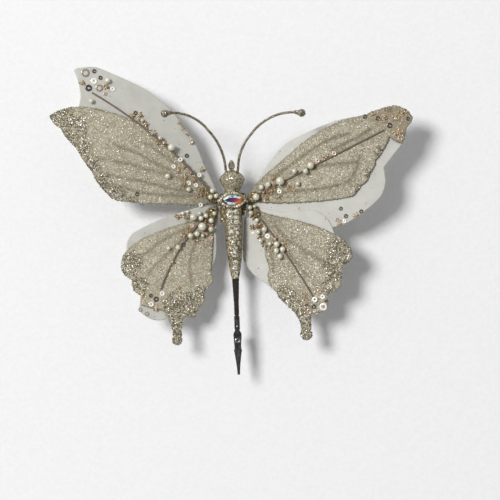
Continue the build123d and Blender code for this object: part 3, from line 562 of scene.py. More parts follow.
spread = crystal.part(crystal.place, "X") * (1.0 / gem_length) + 0.5
upward = crystal.part(crystal.place, "Y") * (1.0 / gem_width)
facet = crystal.attribute("tint")
table_colour = crystal.ramp(spread - 0.4 * upward, {
    0.22: (0.03, 0.04, 0.09), 0.42: (0.09, 0.05, 0.14), 0.56: (0.27, 0.04, 0.12),
    0.70: (0.42, 0.07, 0.09), 0.84: (0.70, 0.20, 0.07),
})
# Crown facets run from dark teal to white by that random draw: the coating's teal with painted facet
# reflections.
crown_colour = crystal.ramp(facet, {
    0.22: (0.06, 0.22, 0.25), 0.40: (0.34, 0.62, 0.60), 0.55: (0.82, 0.90, 0.87),
    0.8: (0.95, 0.96, 0.93),
})
right_colour = crystal.ramp(spread, {
    0.66: (0.80, 0.24, 0.07), 0.84: (0.72, 0.22, 0.06), 0.96: (0.28, 0.14, 0.05),
})
left_end = (-1.0 * spread - 0.4 * upward) > -0.12
right_end = (spread - 0.45 * upward) > 0.78
crown_colour = crystal.mix(left_end, crown_colour, (0.16, 0.02, 0.03, 1.0))
crown_colour = crystal.mix(right_end, crown_colour, right_colour)
crystal.set({
    "Base Color": crystal.mix(facet > 0.1, table_colour, crown_colour),
    "Metallic": 0.15 + 0.35 * right_end,
})
piece("crystal", crystal_mesh, "body", crystal, ["thorax_gem"])

# Rhinestones. Foil-backed chatons of a few sizes in a row down the abdomen, each pressed into a
# cup in the wet glue. They are cut with eight sides and a flat table.
STONE_SIDES = 8
STONE_GROWTH = 1.2
STONE_DEPTH = 0.75 * MM
STONE_TABLE = 0.78 * MM
UP = Vector((0, 0, 1))


def solids(node):
    """Centre, upward axis and radius of each separate solid of a CAD node."""
    copy = merged(node)
    waiting = set(copy.verts)
    found = []
    while waiting:
        island = {waiting.pop()}
        edge = list(island)
        while edge:
            vert = edge.pop()
            for link in vert.link_edges:
                other = link.other_vert(vert)
                if other not in island:
                    island.add(other)
                    edge.append(other)
        waiting -= island
        faces = {face for vert in island for face in vert.link_faces}
        up = sum((f.normal * f.calc_area() for f in faces if f.normal.z > 0.5), Vector())
        axis = up.normalized()
        low = Vector(min(v.co[k] for v in island) for k in range(3))
        high = Vector(max(v.co[k] for v in island) for k in range(3))
        centre = (low + high) / 2
        aside = [(v.co - centre) - (v.co - centre).dot(axis) * axis for v in island]
        found.append((centre, axis, max(a.length for a in aside)))
    copy.free()
    return sorted(found, key=lambda solid: tuple(solid[0]))


def turn(bm, profile, centre, axis, segments, tint, closed=False, spin=0.0):
    """Add a turned shape: radius and height pairs, lowest first, about an axis through a centre."""
    layer = bm.verts.layers.float.get("tint") or bm.verts.layers.float.new("tint")
    place = Matrix.Translation(centre) @ UP.rotation_difference(axis).to_matrix().to_4x4()
    rings = []
    for radius, height in profile:
        ring = []
        for i in range(segments if radius > 0 else 1):
            angle = spin + math.tau * i / segments
            point = Vector((radius * math.cos(angle), radius * math.sin(angle), height))
            vert = bm.verts.new(place @ point)
            vert[layer] = tint
            ring.append(vert)
        rings.append(ring)
    pairs = list(zip(rings, rings[1:]))
    if closed:
        pairs.append((rings[-1], rings[0]))
    for lower, upper in pairs:
        for i in range(segments):
            j = (i + 1) % segments
            corners = [lower[i % len(lower)], lower[j % len(lower)]]
            corners += [upper[j % len(upper)], upper[i % len(upper)]]
            bm.faces.new(list(dict.fromkeys(corners)))


stones = bmesh.new()
cups = bmesh.new()
draw = random.Random(3)
for centre, axis, radius in solids("abdomen_rhinestones"):
    radius *= STONE_GROWTH
    outline = [
        (0, -STONE_DEPTH), (radius * 0.96, -STONE_DEPTH), (radius, 0.1 * MM),
        (radius * 0.58, STONE_TABLE), (0, STONE_TABLE),
    ]
    turn(stones, outline, centre, axis, STONE_SIDES, draw.random(), spin=draw.random())
    rim = [(radius, 0.0), (radius * 1.14, 0.0), (radius * 1.14, 0.2 * MM), (radius, 0.26 * MM)]
    turn(cups, rim, centre, axis, 20, draw.random(), closed=True)
foiled = Finish("foiled_glass", {
    "Metallic": 0.1, "Roughness": 0.08, "Coat Weight": 1.0, "Coat Roughness": 0.02,
})
# Random grains from near black to white over each stone: painted facet glints and reflections over the
# foil's silver.
painted_glint_grains = foiled.grains(0.9 * MM)
foiled.set({
    "Base Color": foiled.ramp(foiled.channel(painted_glint_grains, "Red"), {
        0.05: (0.05, 0.04, 0.022), 0.36: (0.34, 0.30, 0.19), 0.58: (0.76, 0.75, 0.63),
        1.0: (0.95, 0.96, 0.89),
    }),
    "Normal": foiled.tilted(painted_glint_grains, 0.4),
})
stone_mesh = finished_mesh("rhinestones", stones, False)
piece("rhinestones", stone_mesh, "body", foiled, ["abdomen_rhinestones"])
piece("rhinestone_cups", finished_mesh("rhinestone_cups", cups, True), "body", plated)

# Wing panels. Each wing is a champagne glitter fabric over a sheer organza, both cut to shape
# with a hot knife, with veins pressed into the glitter fabric and coarse glitter glued to its tips.
SPACING = 0.75 * MM
THREAD_PITCH = 0.45 * MM
SHEER_THICKNESS = 0.12 * MM
SHEER_RIPPLE = 0.12 * MM
SHEER_FRAY = 0.05 * MM
FABRIC_THICKNESS = 0.2 * MM
FABRIC_FRAY = 0.8 * MM
VEIN_WIDTH = 1.3 * MM
VEIN_HEIGHT = 0.12 * MM
COARSE_HEIGHT = 0.2 * MM
KNOB_HEIGHT = 1.3 * MM
EDGE_WIDTH = 0.8 * MM
ROOT_REACH = 36 * MM


def distance_to(points, line, closed=False):
    """Distance in plan of each point to a line of points."""
    ends = np.roll(line, -1, axis=0) if closed else line[1:]
    best = np.full(len(points), np.inf)
    for start, end in zip(line, ends):
        run = end - start
        along = np.clip((points - start) @ run / max(run @ run, 1e-18), 0.0, 1.0)
        foot = start + along[:, None] * run
        best = np.minimum(best, np.linalg.norm(points - foot, axis=1))
    return best


def inside(points, ring):
    """Which points lie inside a closed ring, in plan."""
    odd = np.zeros(len(points), dtype=bool)
    for (x0, y0), (x1, y1) in zip(ring, np.roll(ring, -1, axis=0)):
        crosses = (y0 > points[:, 1]) != (y1 > points[:, 1])
        if y1 != y0:
            odd ^= crosses & (points[:, 0] < (x1 - x0) * (points[:, 1] - y0) / (y1 - y0) + x0)
    return odd


def panel_edge(solid):
    """Closed ring of plan points round the upper face of a panel's solid."""
    bmesh.ops.delete(solid, geom=[f for f in solid.faces if f.normal.z < 0.5], context="FACES")
    rim = [e for e in solid.edges if e.is_boundary]
    start = rim[0].verts[0]
    ring = [start]
    edge = rim[0]
    vert = edge.other_vert(start)
    while vert is not start:
        ring.append(vert)
        edge = next(e for e in vert.link_edges if e.is_boundary and e is not edge)
        vert = edge.other_vert(vert)
    return np.array([v.co.xy for v in ring])


def dropped(surface, x, y):
    """The place where a straight drop from above meets a surface, or None."""
    return surface.ray_cast(Vector((x, y, 1.0)), -UP)[0]


def cut_panel(node, fray, seed):
    """A fine mesh of a panel's upper face, with its edge frayed inwards: points, faces, edge."""
    solid = merged(node)
    surface = BVHTree.FromBMesh(solid)
    corners = panel_edge(solid)
    solid.free()
    ring = []
    for start, end in zip(corners, np.roll(corners, -1, axis=0)):
        steps = max(1, math.ceil(np.linalg.norm(end - start) / (0.7 * SPACING)))
        ring += [start + (end - start) * i / steps for i in range(steps)]
    ring = np.array(ring)
    draw = np.random.default_rng(seed)
    along = np.roll(ring, -1, axis=0) - np.roll(ring, 1, axis=0)
    inward = np.stack([-along[:, 1], along[:, 0]], axis=1) / np.linalg.norm(along, axis=1)[:, None]
    area = np.sum(ring[:, 0] * np.roll(ring[:, 1], -1) - np.roll(ring[:, 0], -1) * ring[:, 1])
    ring = ring + inward * (np.sign(area) * fray * draw.random(len(ring)))[:, None]
    low = ring.min(axis=0)
    high = ring.max(axis=0)
    xs = np.arange(low[0], high[0], SPACING)
    ys = np.arange(low[1], high[1], SPACING * 0.866)
    grid = np.array([(x + (k % 2) * SPACING / 2, y) for k, y in enumerate(ys) for x in xs])
    grid = grid + (draw.random(grid.shape) - 0.5) * 0.3 * SPACING
    grid = grid[inside(grid, ring)]
    grid = grid[distance_to(grid, ring, closed=True) > 0.45 * SPACING]
    plan = [Vector(p) for p in np.concatenate([ring, grid])]
    flat, _, faces, *_ = delaunay_2d_cdt(plan, [], [list(range(len(ring)))], 1, 1e-9)
    points = []
    for point in flat:
        hit = dropped(surface, point.x, point.y)
        if hit is None:
            hit = surface.find_nearest(Vector((point.x, point.y, cad_box[1][2])))[0]
        points.append((point.x, point.y, hit.z))
    return np.array(points), faces, ring


def panel_mesh(name, points, faces):
    """The smooth upper side of a panel."""
    mesh = bpy.data.meshes.new(name)
    mesh.from_pydata(points.tolist(), [], faces)
    shade(mesh, True)
    return mesh


def declare_panel(panel, thickness):
    """Give a panel its thickness."""
    solidify = panel.modifiers.new("thickness", "SOLIDIFY")
    solidify.thickness = thickness
    solidify.offset = -1.0


organza = Finish("organza", {"Sheen Weight": 0.2, "Sheen Roughness": 0.4})
warp = organza.waves("X", THREAD_PITCH, {"Distortion": 0.6})
weft = organza.waves("Y", THREAD_PITCH, {"Distortion": 0.6})
mottle = organza.noise(9 * MM)
weave = 0.5 * warp + 0.5 * weft
organza.set({
    "Base Color": organza.ramp(0.3 * weave + 0.7 * mottle, {
        0.25: (0.52, 0.51, 0.455), 0.5: (0.60, 0.592, 0.535), 0.8: (0.67, 0.665, 0.61),
    }),
    "Roughness": 0.35 + 0.2 * mottle,
    "Alpha": 0.80 + 0.14 * weave,
    "Normal": organza.bump(weave, 0.05 * MM),
})
speck = flake_finish("stray_flakes", {
    0.0: (0.04, 0.03, 0.02), 0.6: (0.16, 0.13, 0.08), 1.0: (0.75, 0.70, 0.58),
}, matt=0.2)

# What darkens the fabric and its flakes: the attribute, how far, and towards which colour.
WING_MARKS = [
    ("sand", 0.6, (0.29, 0.23, 0.145)),
    ("vein", 0.5, (0.14, 0.115, 0.07)),
    ("root", 0.45, (0.15, 0.125, 0.07)),
    ("edge", 0.45, (0.10, 0.08, 0.045)),
]
CHAMPAGNE_FLAKES = {
    0.0: (0.09, 0.075, 0.04), 0.4: (0.32, 0.285, 0.195), 0.72: (0.54, 0.50, 0.395),
    0.88: (0.96, 0.95, 0.90),
}
FINE_GRAINS = {0.1: (0.19, 0.165, 0.105), 0.5: (0.345, 0.31, 0.22), 0.95: (0.56, 0.52, 0.41)}
COARSE_GRAINS = {0.1: (0.06, 0.048, 0.025), 0.5: (0.22, 0.19, 0.125), 0.9: (0.52, 0.48, 0.38)}


def with_painted_light(stops, painted_light_gain):
    """The stops of a ramp, all made lighter or darker by a gain that paints light or shade."""
    return {place: tuple(min(1.0, painted_light_gain * part) for part in stops[place]) for place in stops}


def champagne_fabric(name, painted_light_gain):
    """Cloth sprayed with fine champagne glitter: coarse grains in patches, darker veins and edge."""
    finish = Finish(name, {"Sheen Weight": 0.15})
    fine = finish.grains(0.75 * MM)
    large = finish.grains(1.2 * MM)
    level = 0.6 * finish.channel(fine, "Red") + 0.2 * finish.channel(large, "Red")
    level = level + 0.5 * finish.noise(6 * MM) - 0.12
    fine_colour = finish.ramp(level, with_painted_light(FINE_GRAINS, painted_light_gain))
    coarse_colour = finish.ramp(finish.channel(large, "Green"), with_painted_light(COARSE_GRAINS, painted_light_gain))
    colour = finish.mix(finish.attribute("coarse"), fine_colour, coarse_colour)
    finish.set({
        "Base Color": finish.marked(colour, WING_MARKS),
        "Metallic": 0.1 + 0.3 * (finish.channel(fine, "Green") > 0.6),
        "Roughness": 0.42 + 0.35 * finish.channel(fine, "Blue"),
        "Normal": finish.tilted(fine, 0.2),
    })
    return finish


# How much each wing's colours are lightened or darkened as painted light, to even out the shade that
# its slope takes from the key light, how matt it was sprayed, how deep its veins were pressed, its
# veins, its discs of coarse glitter and, where it has them, those of sandy glitter and the knob of its
# tail.
WING_PATTERNS = {
    "left_forewing": {
        "painted_light_gain": 1.22,
        "matt": 0.34,
        "pressing": 1.0,
        "veins": [
            [
                (-96, 34), (-90, 32), (-80, 30), (-72, 28), (-66, 25.5), (-58, 23), (-50, 21),
                (-41, 20), (-32, 12),
            ],
            [
                (-99, 30), (-95, 24), (-87, 21), (-78, 18.5), (-70, 16.5), (-62, 15.5), (-54, 12.5),
                (-46, 10), (-33, 8),
            ],
            [(-85, 14.5), (-74, 10), (-58, 6.2), (-40, 4.6), (-28, 4)],
            [(-83, 42.5), (-77, 39.5), (-71, 38), (-63.5, 34), (-53, 27.5), (-44, 23)],
            [(-63, 44), (-58, 41.5), (-54, 38), (-47.5, 33), (-40, 27)],
        ],
        "coarse": [
            (-122, 62, 13), (-112, 54, 12), (-106, 40, 8), (-100, 28, 7), (-93, 15, 8), (-84, 6, 9),
            (-72, 2, 4),
        ],
    },
    "right_forewing": {
        "painted_light_gain": 1.0,
        "matt": 0.44,
        "pressing": 1.45,
        "veins": [
            [(26, 4), (45, 5), (62, 6), (79, 8), (85.5, 13), (89, 20), (91, 28)],
            [(48, 16), (61, 22.5), (74, 23), (90, 24)],
            [(30, 16), (44, 25), (56, 33), (69, 41), (84, 44.5)],
            [(72, 33), (80, 37), (90, 41.5), (99, 47)],
        ],
        "coarse": [(127, 59, 5), (113, 61, 4), (121, 41, 4), (105, 31, 4), (97, 16, 4), (90, 5, 4)],
        "sand": [(121, 54, 15), (108, 56, 10)],
    },
    "left_hindwing": {
        "painted_light_gain": 1.36,
        "matt": 0.34,
        "pressing": 1.0,
        "veins": [
            [(-66, -37.5), (-60, -33), (-53.5, -28.5), (-46, -24), (-39, -21.5), (-30, -17)],
            [(-62, -50), (-57, -45), (-51.5, -39), (-46, -35), (-40, -29.5), (-34, -24)],
            [(-32, -58), (-33, -45), (-30.5, -35), (-26, -26)],
        ],
        "coarse": [
            (-75, -43, 11), (-69, -58, 7), (-44, -74, 11), (-34, -74, 11), (-25, -66, 7), (-43, -88, 9),
            (-43, -98, 7),
        ],
        "knob": (-42.8, -98.2, 4.2),
    },
    "right_hindwing": {
        "painted_light_gain": 0.95,
        "matt": 0.34,
        "pressing": 1.3,
        "veins": [
            [(60.5, -45), (55.5, -41.3), (50, -38), (44, -33), (38.5, -30), (33, -23), (27, -17)],
            [(50.5, -55), (44, -46), (38.5, -39), (33, -31)],
            [(27, -52), (27, -42), (25, -34)],
        ],
        "coarse": [
            (75, -39, 12), (67, -48, 6), (70, -55, 8), (66, -64, 6), (34, -67, 6), (38, -72, 8),
            (46, -80, 8), (50, -88, 7), (49, -97, 7),
        ],
        "knob": (49.2, -98.2, 4.4),
    },
}


def vein_line(places):
    """A vein through these places, with its corners rounded off."""
    line = np.array(places) * MM
    for _ in range(3):
        quarters = [(3 * line[:-1] + line[1:]) / 4, (line[:-1] + 3 * line[1:]) / 4]
        inner = np.stack(quarters, axis=1).reshape(-1, 2)
        line = np.concatenate([line[:1], inner, line[-1:]])
    return line


def from_disc(plan, disc):
    """How far each point is from the centre of a disc, in radii of the disc."""
    x, y, radius = disc
    return np.linalg.norm(plan - np.array((x, y)) * MM, axis=1) / (radius * MM)


for number, (wing, pattern) in enumerate(WING_PATTERNS.items()):
    node = wing + "_sheer_panel"
    points, faces, _ = cut_panel(node, SHEER_FRAY, seed=number)
    ripple = [SHEER_RIPPLE * noise.noise(Vector(p) / (14 * MM)) for p in points]
    points[:, 2] -= SHEER_RIPPLE - np.array(ripple)
    sheer_mesh = coated(panel_mesh(wing + "_organza", points, faces))
    strew(
        wing + "_stray_flakes", sheer_mesh.copy(), wing, speck,
        width=0.75 * MM, per_mm2=0.012, lean=0.3, seed=20 + number,
    )
    sheer = piece(wing + "_organza", sheer_mesh, wing, organza, [node])
    declare_panel(sheer, SHEER_THICKNESS)

    node = wing + "_glitter_panel"
    points, faces, ring = cut_panel(node, FABRIC_FRAY, seed=10 + number)
    plan = points[:, :2]
    veins = np.zeros(len(points))
    for places in pattern["veins"]:
        gap = distance_to(plan, vein_line(places))
        veins = np.maximum(veins, pattern["pressing"] * np.exp(-((gap / VEIN_WIDTH) ** 2)))
    speckle = np.array([noise.noise(Vector(p) / (2.5 * MM)) for p in points])
    patches = {"coarse": np.zeros(len(points)), "sand": np.zeros(len(points))}
    for kind in patches:
        for disc in pattern.get(kind, []):
            level = 3.0 * (1.0 - from_disc(plan, disc)) + 1.2 * speckle
            patches[kind] = np.maximum(patches[kind], np.clip(level, 0.0, 1.0))
    rim = distance_to(plan, ring, closed=True)
    edges = np.exp(-((rim / EDGE_WIDTH) ** 2))
    cap_low, cap_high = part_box(wing + "_root_cap")
    cap_middle = np.array([(cap_low[k] + cap_high[k]) / 2 for k in range(2)])
    roots = np.clip(1.0 - np.linalg.norm(plan - cap_middle, axis=1) / ROOT_REACH, 0.0, 1.0)
    heights = VEIN_HEIGHT * veins + COARSE_HEIGHT * patches["coarse"] * (0.7 + 0.3 * speckle)
    if "knob" in pattern:
        away = from_disc(plan, pattern["knob"])
        heights += KNOB_HEIGHT * np.sqrt(np.clip(1.0 - away**2, 0.0, 1.0))
    points[:, 2] += heights
    glitter_mesh = panel_mesh(wing + "_glitter_fabric", points, faces)
    coat = (0.65 + 0.35 * patches["coarse"]) * (1.0 - 0.3 * veins) * (1.0 - 0.5 * edges)
    attributes = {"vein": veins, "edge": edges, "root": roots, "coat": coat, **patches}
    for key, values in attributes.items():
        write_attribute(glitter_mesh, key, values)
    # Each wing's flake and fabric colours are scaled by its gain: painted light on the left wings and a
    # little painted shade on the right hindwing, evening out the shade from each wing's slope.
    stops = with_painted_light(CHAMPAGNE_FLAKES, pattern["painted_light_gain"])
    flake = flake_finish(wing + "_champagne_flakes", stops, pattern["matt"], marks=WING_MARKS)
    strew(
        wing + "_flakes", glitter_mesh.copy(), wing, flake,
        width=0.5 * MM, per_mm2=3.2, lean=0.42, growth=0.6, seed=30 + number,
    )
    fabric = champagne_fabric(wing + "_champagne_fabric", pattern["painted_light_gain"])
    panel = piece(wing + "_glitter_fabric", glitter_mesh, wing, fabric, [node])
    declare_panel(panel, FABRIC_THICKNESS)

# Rib wires. A paper-covered florist's wire along each wing, glued on top of the fabric; its end is
# bent into a leg that turns in the back block. The paper is wound on, brown and fibrous.
paper = Finish("brown_paper", {"Sheen Weight": 0.2})
fibre = paper.noise(0.5 * MM, 5.0)
paper.set({
    "Base Color": paper.ramp(fibre, {
        0.3: (0.08, 0.05, 0.033), 0.5: (0.155, 0.105, 0.075), 0.75: (0.32, 0.25, 0.18),
    }),
    "Roughness": 0.55 + 0.3 * fibre,
    "Normal": paper.bump(fibre, 0.08 * MM),
})
for wing in WING_PATTERNS:
    dress(wing + "_rib_wire", paper)

# Root caps. Lumps of glue and gold glitter, dabbed over the place where the wire's leg leaves
# the panels, each pressed on by hand, so no two are alike. The same glitter dusts the back block.
# Its flakes are darker and browner than the body's: painted shade for these low places beside the body.
LUMP_VOXEL = 0.3 * MM
LUMP_SIZE = 1.6 * MM
LUMP_HEIGHT = 0.45 * MM
LUMP_SWELL = 0.2 * MM
DUSTED_Z = 3 * MM
dark_gold = glitter(
    "dark_gold_glitter", (0.05, 0.034, 0.012), (0.19, 0.134, 0.055), (0.64, 0.53, 0.31),
    grain=0.7 * MM, lean=0.45,
)
# Flakes darker and browner than the body's gold flakes: painted shade for the root lumps and the back
# block, which lie low beside the body.
flakes_with_painted_shade = flake_finish("dark_gold_flakes", {
    0.0: (0.07, 0.046, 0.018), 0.6: (0.33, 0.25, 0.12), 1.0: (0.90, 0.81, 0.56),
}, matt=0.2)
block_ground = ground_of("back_block")
block_top = bmesh.new()
block_top.from_mesh(block_ground)
bare = [f for f in block_top.faces if f.normal.z < 0.5 or f.calc_center_median().z < DUSTED_Z]
bmesh.ops.delete(block_top, geom=bare, context="FACES")
block_top.to_mesh(block_ground)
block_top.free()
strew(
    "back_block_flakes", block_ground, "body", flakes_with_painted_shade,
    width=0.8 * MM, per_mm2=2.6, lean=0.35,
)
for number, wing in enumerate(WING_PATTERNS):
    node = wing + "_root_cap"
    lump = linked(wing + "_glue_lump", ground_of(node))
    remesh = lump.modifiers.new("remesh", "REMESH")
    remesh.mode = "VOXEL"
    remesh.voxel_size = LUMP_VOXEL
    mesh = baked(lump)
    bpy.data.objects.remove(lump)
    for vert, normal in zip(mesh.vertices, [v.normal.copy() for v in mesh.vertices]):
        vert.co += normal * (LUMP_HEIGHT * noise.noise(vert.co / LUMP_SIZE) + LUMP_SWELL)
    shade(mesh, True)
    strew(
        wing + "_root_flakes", coated(mesh).copy(), wing, flakes_with_painted_shade,
        width=0.8 * MM, per_mm2=1.6, lean=0.7, seed=50 + number,
    )
    mesh.materials.clear()
    piece(wing + "_glue_lump", mesh, wing, dark_gold, [node])

# Pearls. Round plastic pearls with an ivory lustre, from three to six millimetres, each with its
# drilled hole turned to the side, glued along the ribs and heaped at the roots.
PEARL_STEPS = 12
pearl_finish = Finish("pearl_lustre", {"Coat Weight": 1.0, "Coat Roughness": 0.2, "Coat IOR": 1.8})
lustre = pearl_finish.noise(2 * MM)
pearl_finish.set({
    "Base Color": pearl_finish.ramp(0.6 * pearl_finish.attribute("tint") + 0.4 * lustre, {
        0.1: (0.56, 0.525, 0.385), 0.5: (0.665, 0.635, 0.49), 0.9: (0.73, 0.705, 0.575),
    }),
    "Metallic": 0.1 * lustre,
    "Roughness": 0.2 + 0.15 * lustre,
})
# The random draws go on from those of the rhinestones.
for wing in WING_PATTERNS:
    node = wing + "_pearls"
    pearls = bmesh.new()
    for centre, _, radius in solids(node):
        hole = 0.14 * radius
        profile = [(0, -0.55 * radius), (hole, -0.6 * radius)]
        for i in range(PEARL_STEPS + 1):
            angle = math.pi * (i / PEARL_STEPS - 0.5) * 0.9
            profile.append((radius * math.cos(angle), radius * math.sin(angle)))
        profile += [(hole, 0.6 * radius), (0, 0.55 * radius)]
        bore = Vector((draw.random() - 0.5, draw.random() - 0.5, 0.3 * draw.random())).normalized()
        turn(pearls, profile, centre, bore, 24, draw.random())
    piece(node + "_drilled", finished_mesh(node, pearls, True), wing, pearl_finish, [node])

# Sequins. Cup sequins stamped from film with a hole in the middle: pearly white, clear and pink
# copper ones, and dark gunmetal and brown ones, each stuck down flat.
FILM_THICKNESS = 0.12 * MM
CUP_FOOT = -0.14 * MM
CUP_SHOULDER = 0.22 * MM
CUP_RIM = 0.30 * MM
PALE_COPPER = [(73.5, 30.6), (61.6, 26), (-16.4, -26.4), (-29.6, -17.2)]
PALE_CLEAR = [(-101.5, 94), (-92, 83), (126.4, 57.4), (-68.4, -76), (-63.8, -79), (57, -82.4)]
WIDE_HOLES = PALE_CLEAR + [(61.2, -77.8)]
DARK_COPPER = [
    (-87.8, 78.5), (-26.5, 3), (-30.2, 20.8), (121, 45.2), (120.6, 39.4), (73.6, -16.8), (-21, -31.7),
    (-16.9, -31.4), (59.4, -67.2), (51.8, -81.4),
]


def near(centre, spots):
    return any(math.hypot(centre.x - x * MM, centre.y - y * MM) < 2 * MM for x, y in spots)


def film(name, stops, metal, coat):
    """Thin pearly film whose colour comes from each sequin's tint."""
    finish = Finish(name, {"Coat Weight": coat, "Coat Roughness": 0.05})
    shift = finish.noise(1.5 * MM)
    colour = finish.ramp(finish.attribute("tint"), stops)
    finish.set({
        "Base Color": finish.mix(0.08 * shift, colour, (0.95, 0.90, 0.84, 1.0)),
        "Metallic": metal * shift,
        "Roughness": 0.15 + 0.25 * shift,
    })
    return finish


pale_film = film("pale_film", {
    0.0: (0.92, 0.895, 0.82), 0.30: (0.92, 0.895, 0.82), 0.36: (0.70, 0.52, 0.42),
    0.64: (0.70, 0.52, 0.42), 0.70: (0.30, 0.25, 0.18), 1.0: (0.30, 0.25, 0.18),
}, metal=0.1, coat=0.7)
dark_film = film("dark_film", {
    0.0: (0.030, 0.024, 0.018), 0.4: (0.06, 0.045, 0.032), 0.6: (0.42, 0.27, 0.19),
    1.0: (0.48, 0.32, 0.23),
}, metal=0.5, coat=0.25)
for wing in WING_PATTERNS:
    for kind, finish in (("pale_sequins", pale_film), ("dark_sequins", dark_film)):
        node = f"{wing}_{kind}"
        discs = bmesh.new()
        for centre, axis, radius in solids(node):
            hole = 0.58 * radius if near(centre, WIDE_HOLES) else 0.32 * radius
            below = [
                (hole, CUP_FOOT), (0.62 * radius, CUP_FOOT), (0.92 * radius, CUP_FOOT + CUP_SHOULDER),
                (radius, CUP_FOOT + CUP_RIM),
            ]
            top = CUP_FOOT + FILM_THICKNESS
            above = [(0.97 * radius, top + CUP_RIM), (0.60 * radius, top), (hole, top)]
            if kind == "pale_sequins":
                tint = 0.5 if near(centre, PALE_COPPER) else 0.9 if near(centre, PALE_CLEAR) else 0.1
            else:
                tint = 0.8 if near(centre, DARK_COPPER) else 0.2
            turn(discs, below + above, centre, axis, 20, tint, closed=True)
        piece(node + "_cupped", finished_mesh(node, discs, True), wing, finish, [node])

# Seed beads. Amber, gold and copper glass rocailles with foiled holes, in heaps glued between the
# pearls: one larger bead lies in each heap with a few smaller ones round it, darkest at the root.
HEAP = 9
PALE_REACH = 40 * MM
amber = Finish("amber_glass", {"Coat Weight": 1.0, "Coat Roughness": 0.04})
swirl = amber.noise(0.8 * MM)
amber.set({
    "Base Color": amber.ramp(0.8 * amber.attribute("tint") + 0.2 * swirl, {
        0.05: (0.13, 0.06, 0.02), 0.35: (0.30, 0.165, 0.062), 0.6: (0.50, 0.365, 0.195),
        0.9: (0.60, 0.50, 0.36),
    }),
    "Roughness": 0.12 + 0.2 * swirl,
    "Metallic": 0.25 * swirl,
})


def oval_ring(middle, half_width, half_height, count, start=0.0):
    """Profile of a ring with an oval section: radius and height pairs."""
    angles = [start + math.tau * i / count for i in range(count)]
    return [(middle + half_width * math.cos(a), half_height * math.sin(a)) for a in angles]


def rocaille(radius):
    """Profile of a round bead with a hole."""
    thick = 0.42 * radius
    return oval_ring(radius - thick, thick, 1.7 * thick, 10, start=-math.pi / 2)


def leaning_bore(draw, rise):
    """A random direction for the hole of a bead."""
    return Vector((draw.random() - 0.5, draw.random() - 0.5, rise)).normalized()


for number, wing in enumerate(WING_PATTERNS):
    node = wing + "_seed_beads"
    panels = bmesh.new()
    for kind in ("_sheer_panel", "_glitter_panel"):
        panels.from_mesh(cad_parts[wing + kind].data)
    surface = BVHTree.FromBMesh(panels)
    panels.free()
    root = Vector(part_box(wing + "_root_cap")[0])
    draw = random.Random(70 + number)
    beads = bmesh.new()
    for centre, _, radius in solids(node):
        paleness = min(1.0, (centre - root).xy.length / PALE_REACH)
        bore = leaning_bore(draw, 0.9)
        tint = 0.5 * draw.random() + 0.5 * paleness
        turn(beads, rocaille(0.9 * radius), centre, bore, 14, tint, closed=True)
        angle = math.tau * draw.random()
        for _ in range(HEAP):
            small = radius * (0.4 + 0.3 * draw.random())
            angle += 2.2 + 0.5 * draw.random()
            away = radius * (0.9 + 1.3 * draw.random())
            bore = leaning_bore(draw, 0.5)
            tint = 0.5 * draw.random() + 0.5 * paleness
            spot = centre + Vector((away * math.cos(angle), away * math.sin(angle), 0.0))
            hit = dropped(surface, spot.x, spot.y)
            if hit:
                spot.z = hit.z + 0.7 * small
                turn(beads, rocaille(small), spot, bore, 10, tint, closed=True)
    piece(node + "_bored", finished_mesh(node, beads, True), wing, amber, [node])

# Stem. The core wires are wound with brown waxed crepe tape: a flat strip, its turns overlapping
# like scales, wide and rounded off at the body and drawn in where the clip holds it.
TAPE_PITCH = 3.2 * MM
TAPE_STEP = 0.14 * MM
TAPE_GAP = 0.05 * MM
STEM_RINGS = 240
STEM_SIDES = 40
STEM_SQUARENESS = 0.55
TAPER_LENGTH = 17.8 * MM
HALF_END = 1.8 * MM
HALF_TONGUE = 1.4 * MM
stem_low, stem_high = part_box("stem_wrap")
clip_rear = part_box("clip_jaw")[1][1]
stem_middle_z = (stem_low[2] + stem_high[2]) / 2
half_thick = (stem_high[2] - stem_low[2]) / 2
half_top = (stem_high[0] - stem_low[0]) / 2
top_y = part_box("body_shell")[0][1] - TAPE_GAP
end_radius = top_y - (stem_high[1] - half_thick)


def squared(part):
    """A sine or cosine pushed outwards, which makes a round section squarer."""
    return math.copysign(abs(part) ** STEM_SQUARENESS, part)


strip = bmesh.new()
rings = []
for k in range(STEM_RINGS + 1):
    y = top_y + (stem_low[1] - top_y) * k / STEM_RINGS
    from_top = top_y - y
    half_wide = half_top + (HALF_END - half_top) * min(1.0, from_top / TAPER_LENGTH)
    if y < clip_rear + 0.6 * MM:
        half_wide = HALF_TONGUE
    half_high = half_thick
    if from_top < end_radius:
        rounded = math.sqrt(max(from_top, 0.02 * MM) * (2 * end_radius - from_top))
        half_high = min(half_thick, rounded)
    ring = []
    for i in range(STEM_SIDES):
        angle = math.tau * i / STEM_SIDES
        turns = (from_top / TAPE_PITCH + i / STEM_SIDES) % 1.0
        inset = min(TAPE_STEP * turns + 0.01 * MM, 0.6 * half_high)
        x = (half_wide - inset) * squared(math.cos(angle))
        z = (half_high - inset) * squared(math.sin(angle))
        ring.append(strip.verts.new((x, y, stem_middle_z + z)))
    rings.append(ring)
for first, second in zip(rings, rings[1:]):
    for i in range(STEM_SIDES):
        j = (i + 1) % STEM_SIDES
        strip.faces.new((first[i], first[j], second[j], second[i]))
strip.faces.new(rings[0])
strip.faces.new(rings[-1])
tape = Finish("brown_crepe_tape", {"Specular IOR Level": 0.25})
crepe = tape.waves("Y", 0.35 * MM, {"Distortion": 4.0, "Detail": 3.0, "Detail Scale": 2.0})
stain = tape.noise(2.5 * MM)
tape.set({
    "Base Color": tape.ramp(0.35 * crepe + 0.65 * stain, {
        0.2: (0.006, 0.0038, 0.0022), 0.5: (0.016, 0.0095, 0.0055), 0.8: (0.05, 0.031, 0.018),
    }),
    "Roughness": 0.42 + 0.25 * crepe,
    "Normal": tape.bump(crepe, 0.06 * MM),
})
piece("taped_stem", finished_mesh("taped_stem", strip, True), "stem", tape, ["stem_wrap"])
